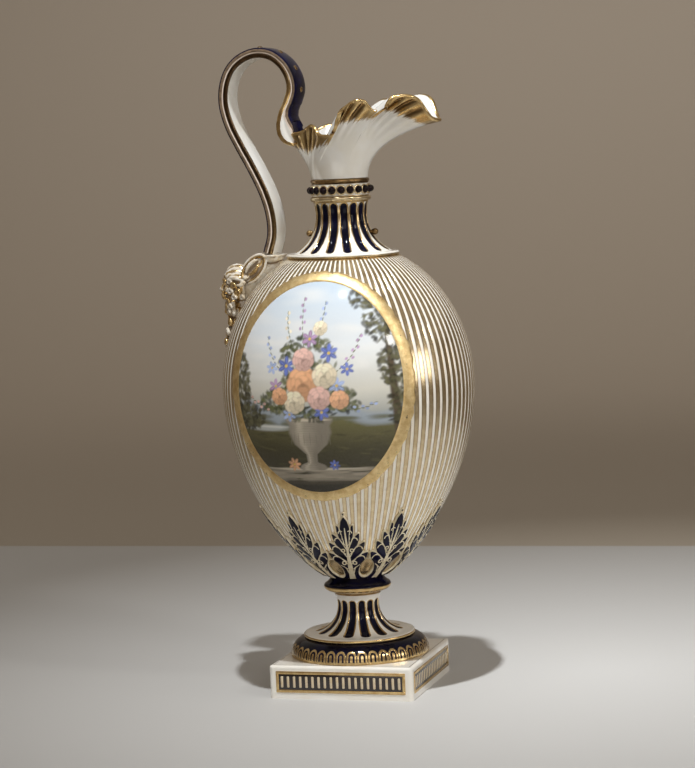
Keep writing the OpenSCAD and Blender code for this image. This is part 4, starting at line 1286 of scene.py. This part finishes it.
def makeLeaves():
    piece = gridSheet("leaf_wreath", leaf["columns"], leaf["rows"])[0]
    flat = coords(piece) * mm * 2
    turn = flat[:, 0] * math.pi / leaf["count"]
    height = leaf["low"] + (flat[:, 1] + 1) / 2 * (leaf["high"] - leaf["low"])
    inner, between = (np.abs(flat[:, :2]) < 0.999).T
    # points close to the outline are drawn on to it
    dt, dh = 0.0015, 0.05
    for i in range(4):
        inside = inLeaf(turn, height)[0]
        near = np.abs(inside) < leaf["snap"]
        slopeT = (inLeaf(turn + dt, height)[0] - inLeaf(turn - dt, height)[0]) / (2 * dt)
        slopeH = (inLeaf(turn, height + dh)[0] - inLeaf(turn, height - dh)[0]) / (2 * dh)
        r = np.interp(height, bodyZ, bodyR)
        size = np.maximum((slopeT / r) ** 2 + slopeH ** 2, 0.2)
        stepT = np.clip(inside * slopeT / r ** 2 / size, -0.004, 0.004) * 0.7
        stepH = np.clip(inside * slopeH / size, -0.1, 0.1) * 0.7
        turn = np.where(near & inner, turn - stepT, turn)
        height = np.where(near & between, height - stepH, height)
    inside, top = inLeaf(turn, height)
    x = np.abs(turn) * np.interp(height, bodyZ, bodyR)
    up = height - leaf["low"]
    vein = toLobe(x, up, *leafRib)
    line = leaf["eyeLine"]
    for spot, radius in leafEyes:
        vein = np.maximum(vein, line - np.abs(np.hypot(x - spot[0], up - spot[1]) - radius + line))
    for spot, radius in leafHooks:
        hook = leaf["hookLine"] - np.abs(np.hypot(x - spot[0], up - spot[1]) - radius)
        vein = np.maximum(vein, np.where(up - spot[1] > 0.5 * (spot[0] - x), hook, -1.0))
    lift = leaf["lift"] + leaf["thick"] * (0.55 * dome(inside) + 0.45 * dome(top))
    lift = lift + leaf["veinHigh"] * np.clip(vein / 0.3 + 0.6, 0, 1)
    setCoords(piece, onBody(turn, height, lift))
    setMark(piece, "edge", top)
    setMark(piece, "vein", vein)
    deletePoints(piece, inside < leaf["cut"])
    modify(piece, "SOLIDIFY", thickness=leaf["back"] * mm, offset=-1)
    smooth(piece, 60)
    piece = copies(piece, leaf["count"], math.radians(leaf["first"]))
    paint = Paint("cobaltLeaf")
    gilt = paint.mark("edge").rise(leaf["line"] + 0.08, leaf["line"] - 0.08)
    gilt = gilt.most(paint.mark("vein").rise(-0.08, 0.06))
    decorate(paint, cobalt(paint), gilt, tone="cream", metal=0.3, glaze=0.1)
    settle(piece, "acanthus_leaves", paint)


makeLeaves()


# Plinth: a tongued panel in a gilt frame on each side

plinthLow, plinthHigh = span("plinth")
panel = {"wide": 65.6, "tall": 7.9, "low": 4.9, "frame": 1.6, "frameThick": 0.7, "postOver": 0.6,
         "fieldThick": 0.3, "fieldOut": 0.02, "bevels": (0.05, 0.3, 0.55), "tongues": 20, "tongueThick": 1.0,
         "tongueIn": 0.1,
         "tongueWide": 1.55, "tongueTall": 6.1, "ground": ((0.012, 0.008, 0.007), (0.03, 0.02, 0.018)),
         "tongueTone": ((0.56, 0.44, 0.27), (0.66, 0.58, 0.45)), "topLine": 2.0,
         "topLineColor": (0.03, 0.025, 0.02)}


def box(size, at, bevel):
    deselect()
    bpy.ops.mesh.primitive_cube_add(size=1)
    piece = bpy.context.object
    bpy.ops.object.mode_set(mode="EDIT")
    bpy.ops.transform.resize(value=[s * mm for s in size])
    bpy.ops.transform.translate(value=[a * mm for a in at])
    bpy.ops.mesh.bevel(offset=bevel * mm, segments=3)
    bpy.ops.object.mode_set(mode="OBJECT")
    return piece


def makePanels():
    face = plinthLow.y
    wide, tall, rail, deep = (panel[k] for k in ("wide", "tall", "frame", "frameThick"))
    middle = panel["low"] + tall / 2
    fieldBevel, barBevel, tongueBevel = panel["bevels"]
    field = box((wide, panel["fieldThick"], tall), (0, face - panel["fieldOut"], middle), fieldBevel)
    bar, post = (wide + 2 * rail, deep, rail), (rail, deep, tall + panel["postOver"])
    bars = []
    for side in (-1, 1):
        bars.append(box(bar, (0, face, middle + side * (tall + rail) / 2), barBevel))
        bars.append(box(post, (side * (wide + rail) / 2, face, middle), barBevel))
    pitch = wide / panel["tongues"]
    tongue = (panel["tongueWide"], panel["tongueThick"], panel["tongueTall"])
    tongues = []
    for i in range(panel["tongues"]):
        x = (i + 0.5) * pitch - wide / 2
        tongues.append(box(tongue, (x, face + panel["tongueIn"], middle), tongueBevel))
    dark = Paint("panelGround")
    glazed(dark, dark.mix(dark.noise(200), *panel["ground"]))
    gilt = Paint("panelFrame")
    decorate(gilt, porcelain(gilt), gilt.noise(500, 3).rise(0.2, 0.3))
    cream = Paint("panelTongue")
    worn = cream.noise(260, 3, 0.7)
    decorate(cream, cream.mix(worn.rise(0.35, 0.65), *panel["tongueTone"]), worn.rise(0.45, 0.75) * 0.5)
    for name, parts, paint, slot in (("panel_fields", [field], dark, "cobalt_porcelain"),
                                     ("panel_frames", bars, gilt, "gilt_porcelain"),
                                     ("panel_tongues", tongues, cream, "gilt_porcelain")):
        piece = copies(joined(name, parts), 4)
        smooth(piece, 50)
        settle(piece, None, paint)


def dressPlinth():
    # white glaze, with a fine dark line round the top
    paint = Paint("whitePlinth")
    x, y, z = paint.place()
    inset = plinthHigh.x - panel["topLine"]
    line = x.size().most(y.size()).band(inset - 0.15, inset + 0.15, 0.08)
    line = line * z.rise(plinthHigh.z - 0.3, plinthHigh.z - 0.1)
    glazed(paint, paint.mix(line, porcelain(paint), panel["topLineColor"]))
    nodes["plinth"].data.materials.clear()
    nodes["plinth"].data.materials.append(paint.material)
    print("dressed the plinth")


makePanels()
dressPlinth()


# Mask under the strap's foot, with hair, beard and a leaf scroll on each side

# wash is the brown of the painted shade in the hollows
mask = {"x": -56.5, "z": 210.8, "voxel": 0.36, "scrollX": -46.3, "scrollZ": 219.2, "scrollLean": 47,
        "scrollSide": 8.6, "wash": (0.17, 0.105, 0.05), "brushed": (0.60, 0.47, 0.28)}
temples = [  # curls at the temples: place from the head's middle, size
    (-4.0, 6.6, 1.8, 1.5), (-1.6, 7.7, -0.4, 1.7), (-3.6, 7.0, -3.2, 1.6), (0.8, 8.2, -3.6, 1.7),
    (-1.4, 7.6, -6.4, 1.6), (2.2, 7.6, 2.0, 1.5), (3.0, 7.8, -6.6, 1.5)]
beard = [  # curls in three rows: place from the head's middle, size, facing
    (-7.6, 1.9, -8.6, 1.5, 15), (-5.8, 4.6, -8.6, 1.6, 40), (-8.6, 0.0, -11.2, 1.5, 0),
    (-7.2, 3.2, -11.4, 1.6, 25), (-4.4, 5.6, -11.4, 1.5, 55), (-7.9, 1.6, -14.2, 1.5, 10),
    (-5.6, 4.2, -14.2, 1.4, 40), (-7.0, 0.0, -16.4, 1.4, 0)]
folds = [  # folds of the scroll's leaf: half length, half width, start, end, gilding
    (6.0, 2.6, 0.5, 2.3, 0.0), (7.6, 4.4, 2.0, 3.0, 0.9), (6.6, 1.2, 2.5, 3.9, 0.0),
    (3.6, 1.4, 3.4, 5.6, 1.0), (8.8, 3.6, 2.75, 3.6, 0.2)]


class Clay:
    # rounded rolls and lumps that are fused into one skin; each keeps whether it is gilt
    def __init__(self):
        self.parts = []
        self.spots = []

    def roll(self, points, radii, gilt, mirrored=True, sides=12):
        points = np.array(points, float)
        fine = np.linspace(0, len(points) - 1, 5 * (len(points) - 1) + 1)
        line = catmull(points, fine)
        thick = np.interp(fine, np.arange(len(points)), radii)
        along = unit(np.gradient(line, axis=0))
        # round caps
        line = np.concatenate([line[:1] - along[:1] * thick[0] * np.array([[1.0], [0.7]]), line,
                               line[-1:] + along[-1:] * thick[-1] * np.array([[0.7], [1.0]])])
        along = np.concatenate([along[:1], along[:1], along, along[-1:], along[-1:]])
        thick = np.concatenate([[0.02, thick[0] * 0.7], thick, [thick[-1] * 0.7, 0.02]])
        first = unit(np.cross(along, [0.31, 0.9, 0.3]))
        second = np.cross(along, first)
        turn = np.linspace(0, fullTurn, sides + 1)[:-1]
        ring = first[:, None] * np.cos(turn)[None, :, None] + second[:, None] * np.sin(turn)[None, :, None]
        skin = line[:, None] + ring * thick[:, None, None]
        for way in ((1, -1) if mirrored else (1,)):
            piece, column, row = gridSheet("roll", sides, len(line) - 1)
            setCoords(piece, skin[row, column % sides] * [1, way, 1])
            weld(0.03)
            self.parts.append(piece)
            self.spots += [(*(q * [1, way, 1]), r, gilt) for q, r in zip(line[2:-2], thick[2:-2])]

    def lump(self, at, size, gilt, mirrored=False, lean=0.0):
        # an egg with the given half sizes, leaned about the Y axis in degrees
        for way in ((1, -1) if mirrored else (1,)):
            deselect()
            bpy.ops.mesh.primitive_uv_sphere_add(segments=28, ring_count=16, radius=mm)
            piece = bpy.context.object
            bpy.ops.object.mode_set(mode="EDIT")
            bpy.ops.transform.resize(value=size)
            bpy.ops.object.mode_set(mode="OBJECT")
            place = Matrix.Translation(Vector((at[0], at[1] * way, at[2])) * mm)
            piece.data.transform(place @ Matrix.Rotation(math.radians(lean), 4, "Y"))
            self.parts.append(piece)
            self.spots.append((at[0], at[1] * way, at[2], min(size), gilt))

    def fuse(self, name, rounds=2):
        piece = joined(name, self.parts)
        modify(piece, "REMESH", mode="VOXEL", voxel_size=mask["voxel"] * mm)
        modify(piece, "SMOOTH", factor=0.5, iterations=rounds)
        smooth(piece, 70)
        # each point takes the finish of the nearest roll or lump
        points, spots = coords(piece), np.array(self.spots)
        gilt = np.zeros(len(points))
        for i in range(0, len(points), 4000):
            far = np.linalg.norm(points[i:i + 4000, None] - spots[None, :, :3], axis=2) - spots[None, :, 3]
            weight = np.exp(-(far - far.min(1, keepdims=True)) / 0.22)
            gilt[i:i + 4000] = (weight * spots[None, :, 4]).sum(1) / weight.sum(1)
        setMark(piece, "gilt", gilt)
        setMark(piece, "hollow", hollows(piece, 14))
        return piece


def hollows(piece, rounds):
    # how deep each point lies below its surroundings, in millimetres
    points = coords(piece)
    ends = np.zeros(len(piece.data.edges) * 2, np.int32)
    piece.data.edges.foreach_get("vertices", ends)
    a, b = ends.reshape(-1, 2).T
    count = np.maximum(np.bincount(ends, minlength=len(points)), 1)[:, None]
    soft = points
    for i in range(rounds):
        total = np.zeros_like(points)
        np.add.at(total, a, soft[b])
        np.add.at(total, b, soft[a])
        soft = total / count
    normal = np.zeros(len(points) * 3)
    piece.data.vertices.foreach_get("normal", normal)
    return ((soft - points) * normal.reshape(-1, 3)).sum(1)


def giltPorcelain(name):
    # white glaze with brushed gilding on some of the modelling, and painted shade in the hollows: they turn
    # brown and lose their gilding
    paint = Paint(name)
    brush = paint.noise(380, 3, 0.65)
    # painted shade: wash darkens the points that lie deep below their surroundings
    wash = (paint.mark("hollow") + (brush - 0.5) * 0.08).rise(0.0, 0.16)
    gilt = (paint.mark("gilt") + (brush - 0.5) * 0.7).rise(0.4, 0.6) * (1 - wash)
    ground = paint.mix(brush.rise(0.35, 0.65) * 0.6, porcelain(paint), mask["brushed"])
    decorate(paint, paint.mix(wash * 0.85, ground, mask["wash"]), gilt, rough=0.08)
    return paint


def curl(clay, at, size, facing, gilt, mirrored=True):
    # a lock wound into a spiral; it faces the back at 0 degrees and the side at 90
    b = math.radians(facing)
    points = []
    for i in range(9):
        a = 0.8 * math.pi * i / 4
        r = size * (1 - 0.075 * i)
        across = r * math.cos(a)
        points.append((at[0] + across * math.sin(b), at[1] + across * math.cos(b), at[2] + r * math.sin(a)))
    clay.roll(points, [size * 0.52] * 4 + [size * 0.45] * 3 + [size * 0.36] * 2, gilt, mirrored)


def makeMask():
    clay = Clay()
    x, z = mask["x"], mask["z"]
    # head, forehead, cheeks and chin on plain proportions: eyes half way, nose a quarter lower
    clay.lump((x + 1, 0, z), (8.2, 7.4, 9.0), 0.75)
    clay.lump((x - 3.6, 0, z + 4.4), (5.0, 6.0, 4.0), 0.45)
    clay.lump((x - 4.6, 3.3, z - 2.4), (3.4, 2.9, 2.9), 0.55, True)
    clay.lump((x - 6.2, 0, z - 7.2), (2.8, 3.0, 2.4), 0.5)
    clay.roll([(x - 8.3, 0.7, z + 2.1), (x - 8.3, 2.6, z + 2.9), (x - 6.6, 5.2, z + 2.1)],
              [0.7, 0.85, 0.6], 1.0)
    clay.lump((x - 7.1, 2.9, z + 0.7), (1.2, 1.4, 0.85), 0.0, True)
    clay.roll([(x - 8.0, 1.5, z + 0.5), (x - 8.5, 2.9, z + 1.4), (x - 7.4, 4.3, z + 0.7)],
              [0.35, 0.4, 0.35], 0.9)
    clay.roll([(x - 8.2, 0, z + 2.0), (x - 9.6, 0, z - 0.4), (x - 10.6, 0, z - 2.3)],
              [0.9, 1.0, 1.3], 0.5, False)
    clay.lump((x - 9.5, 1.1, z - 2.8), (1.1, 0.85, 0.8), 0.5, True)
    clay.roll([(x - 9.4, 0.3, z - 4.3), (x - 9.0, 2.6, z - 5.0), (x - 7.6, 4.8, z - 6.6),
               (x - 6.8, 5.9, z - 5.6)], [0.9, 1.05, 0.9, 0.55], 1.0)
    clay.roll([(x - 8.9, 0, z - 5.6), (x - 8.4, 1.7, z - 5.8)], [0.7, 0.5], 0.1)
    # waved locks sweep back from the brow
    for j in range(10):
        i = j * 0.7
        y, back = 0.5 + 1.25 * i, 0.55 * i
        wave = 0.9 * (-1) ** j
        lock = [(x - 7.0 + back, y * 0.8, z + 5.6 - 0.35 * i),
                (x - 5.8 + back, y * 0.9 + wave * 0.4, z + 8.4 - 0.75 * i),
                (x - 2.8 + back, y + wave * 0.3, z + 10.0 - 1.05 * i),
                (x + 0.4 + back, y * 1.02 - wave * 0.3, z + 10.0 - 1.2 * i),
                (x + 3.2 + back * 0.6, y + 0.4, z + 9.0 - 1.3 * i)]
        clay.roll(lock, [0.55, 0.75, 0.85, 0.8, 0.5], 0.8 if j % 3 == 1 else 0.3)
    for i, (dx, y, dz, size) in enumerate(temples):
        curl(clay, (x + dx, y, z + dz), size, 65, 1.0 if i % 2 else 0.15)
    for i, (dx, y, dz, size, facing) in enumerate(beard):
        curl(clay, (x + dx, y, z + dz), size, facing, 1.0 if i % 2 else 0.1, y > 0)
    clay.lump((x - 4.6, 0, z - 10.6), (3.4, 5.0, 6.4), 0.6)
    # bracket that carries the strap
    clay.roll([(-36.5, 0, 219.4), (-41, 0, 217.6), (-46, 0, 213.6), (-50.5, 0, 209)], [5.4, 7.0, 7.4, 7.0],
              0.0, False, 20)
    clay.lump((-37.9, 0, 224.3), (5.4, 9.2, 2.9), 0.1)
    clay.roll([(-32.8, 6.6, 225.4), (-36, 8.9, 225.6), (-41.5, 8.6, 225.2)], [0.6, 0.7, 0.6], 0.3)
    clay.roll([(-33.0, -6.6, 225.4), (-32.6, 0, 225.6), (-33.0, 6.6, 225.4)], [0.6, 0.7, 0.6], 0.3, False)
    # scroll: a folded leaf with a white edge and a gilt line inside it
    lean = math.radians(mask["scrollLean"])
    c, s = math.cos(lean), math.sin(lean)
    sx, sy, sz = mask["scrollX"], mask["scrollSide"], mask["scrollZ"]

    def onScroll(a, long, short, out=0.0):
        u, v = long * math.cos(a), short * math.sin(a)
        return sx + u * c - v * s, sy + out, sz + u * s + v * c

    angles = [-2.5 + 4.4 * i / 14 for i in range(15)]
    clay.roll([onScroll(a, 9.2, 5.0) for a in angles], [0.45] + [0.6] * 13 + [0.4], 0.1)
    clay.roll([onScroll(a, 8.1, 4.0, 0.2) for a in angles], [0.3] + [0.42] * 13 + [0.3], 1.0)
    for long, short, start, end, gilt in folds:
        fold = [onScroll(start + (end - start) * i / 4, long, short, 0.3) for i in range(5)]
        clay.roll(fold, [0.4, 0.7, 0.85, 0.7, 0.4], gilt)
    clay.lump((sx, sy - 1.5, sz), (8.2, 1.5, 4.4), 1.0, True, -mask["scrollLean"])
    tip = [onScroll(math.pi, 9.0, 5.0), onScroll(math.pi + 0.1, 11.0, 5.0, 0.4),
           onScroll(math.pi - 0.15, 12.4, 6.5, 0.2)]
    clay.roll(tip, [1.0, 1.1, 0.6], 0.2)
    settle(clay.fuse("bracket_mask"), "mask", giltPorcelain("giltMask"))


drop = {"pairs": 4, "size": 2.5, "shrink": 0.22, "pitch": 0.87, "sink": 0.6}


def makePendant():
    # pairs of curled locks under the beard, each pair smaller than the one above
    low, high = span("mask_pendant")
    clay = Clay()
    step = (high.z - low.z) / drop["pairs"]
    for i in range(drop["pairs"]):
        odd = i % 2
        middle = high.z - step * drop["pitch"] * (i + 0.5)
        size = drop["size"] - drop["shrink"] * i
        x = -np.interp(middle, bodyZ, bodyR) - size * drop["sink"]
        clay.lump((x, 0, middle), (size * 1.2, size * 1.5, step * 0.62), 0.7)
        curl(clay, (x - size * 1.1, size * 1.15, middle + step * 0.1), size, 30, 1.0 if odd else 0.1)
        husk = [(x - size, 0, middle + step * 0.55), (x - size * 1.7, 0, middle),
                (x - size * 1.3, 0, middle - step * 0.5)]
        clay.roll(husk, [0.35 * size, 0.5 * size, 0.25 * size], 0.1 if odd else 1.0, False)
    settle(clay.fuse("beard_drop"), "mask_pendant", giltPorcelain("giltDrop"))


makeMask()
makePendant()


# Hidden tie bolt: plain steel and cork on the solids themselves

hidden = {"steel": ("tie_bolt", "bolt_washer", "nut_washer", "nut"), "cork": ("bolt_cushion", "nut_cushion")}


def dressHidden():
    steel = Paint("bolt_steel")
    scratch = steel.noise(500, 4, 0.7, (1, 1, 8))
    steel.use(baseColor=steel.mix(scratch.rise(0.3, 0.7), (0.36, 0.35, 0.33), (0.52, 0.51, 0.49)))
    steel.use(roughness=0.28 + scratch * 0.2, metallic=1.0)
    steel.bump(scratch, 0.0002, 0.3)
    cork = Paint("washer_cork")
    crumb = cork.noise(900, 4, 0.7)
    cork.use(baseColor=cork.mix(crumb.rise(0.35, 0.65), (0.20, 0.11, 0.05), (0.46, 0.30, 0.16)))
    cork.use(roughness=0.75 + crumb * 0.2)
    cork.bump(crumb, 0.0004, 0.6)
    for kind, paint in (("steel", steel), ("cork", cork)):
        for node in hidden[kind]:
            nodes[node].data.materials.clear()
            nodes[node].data.materials.append(paint.material)
    print("dressed the tie bolt")


dressHidden()
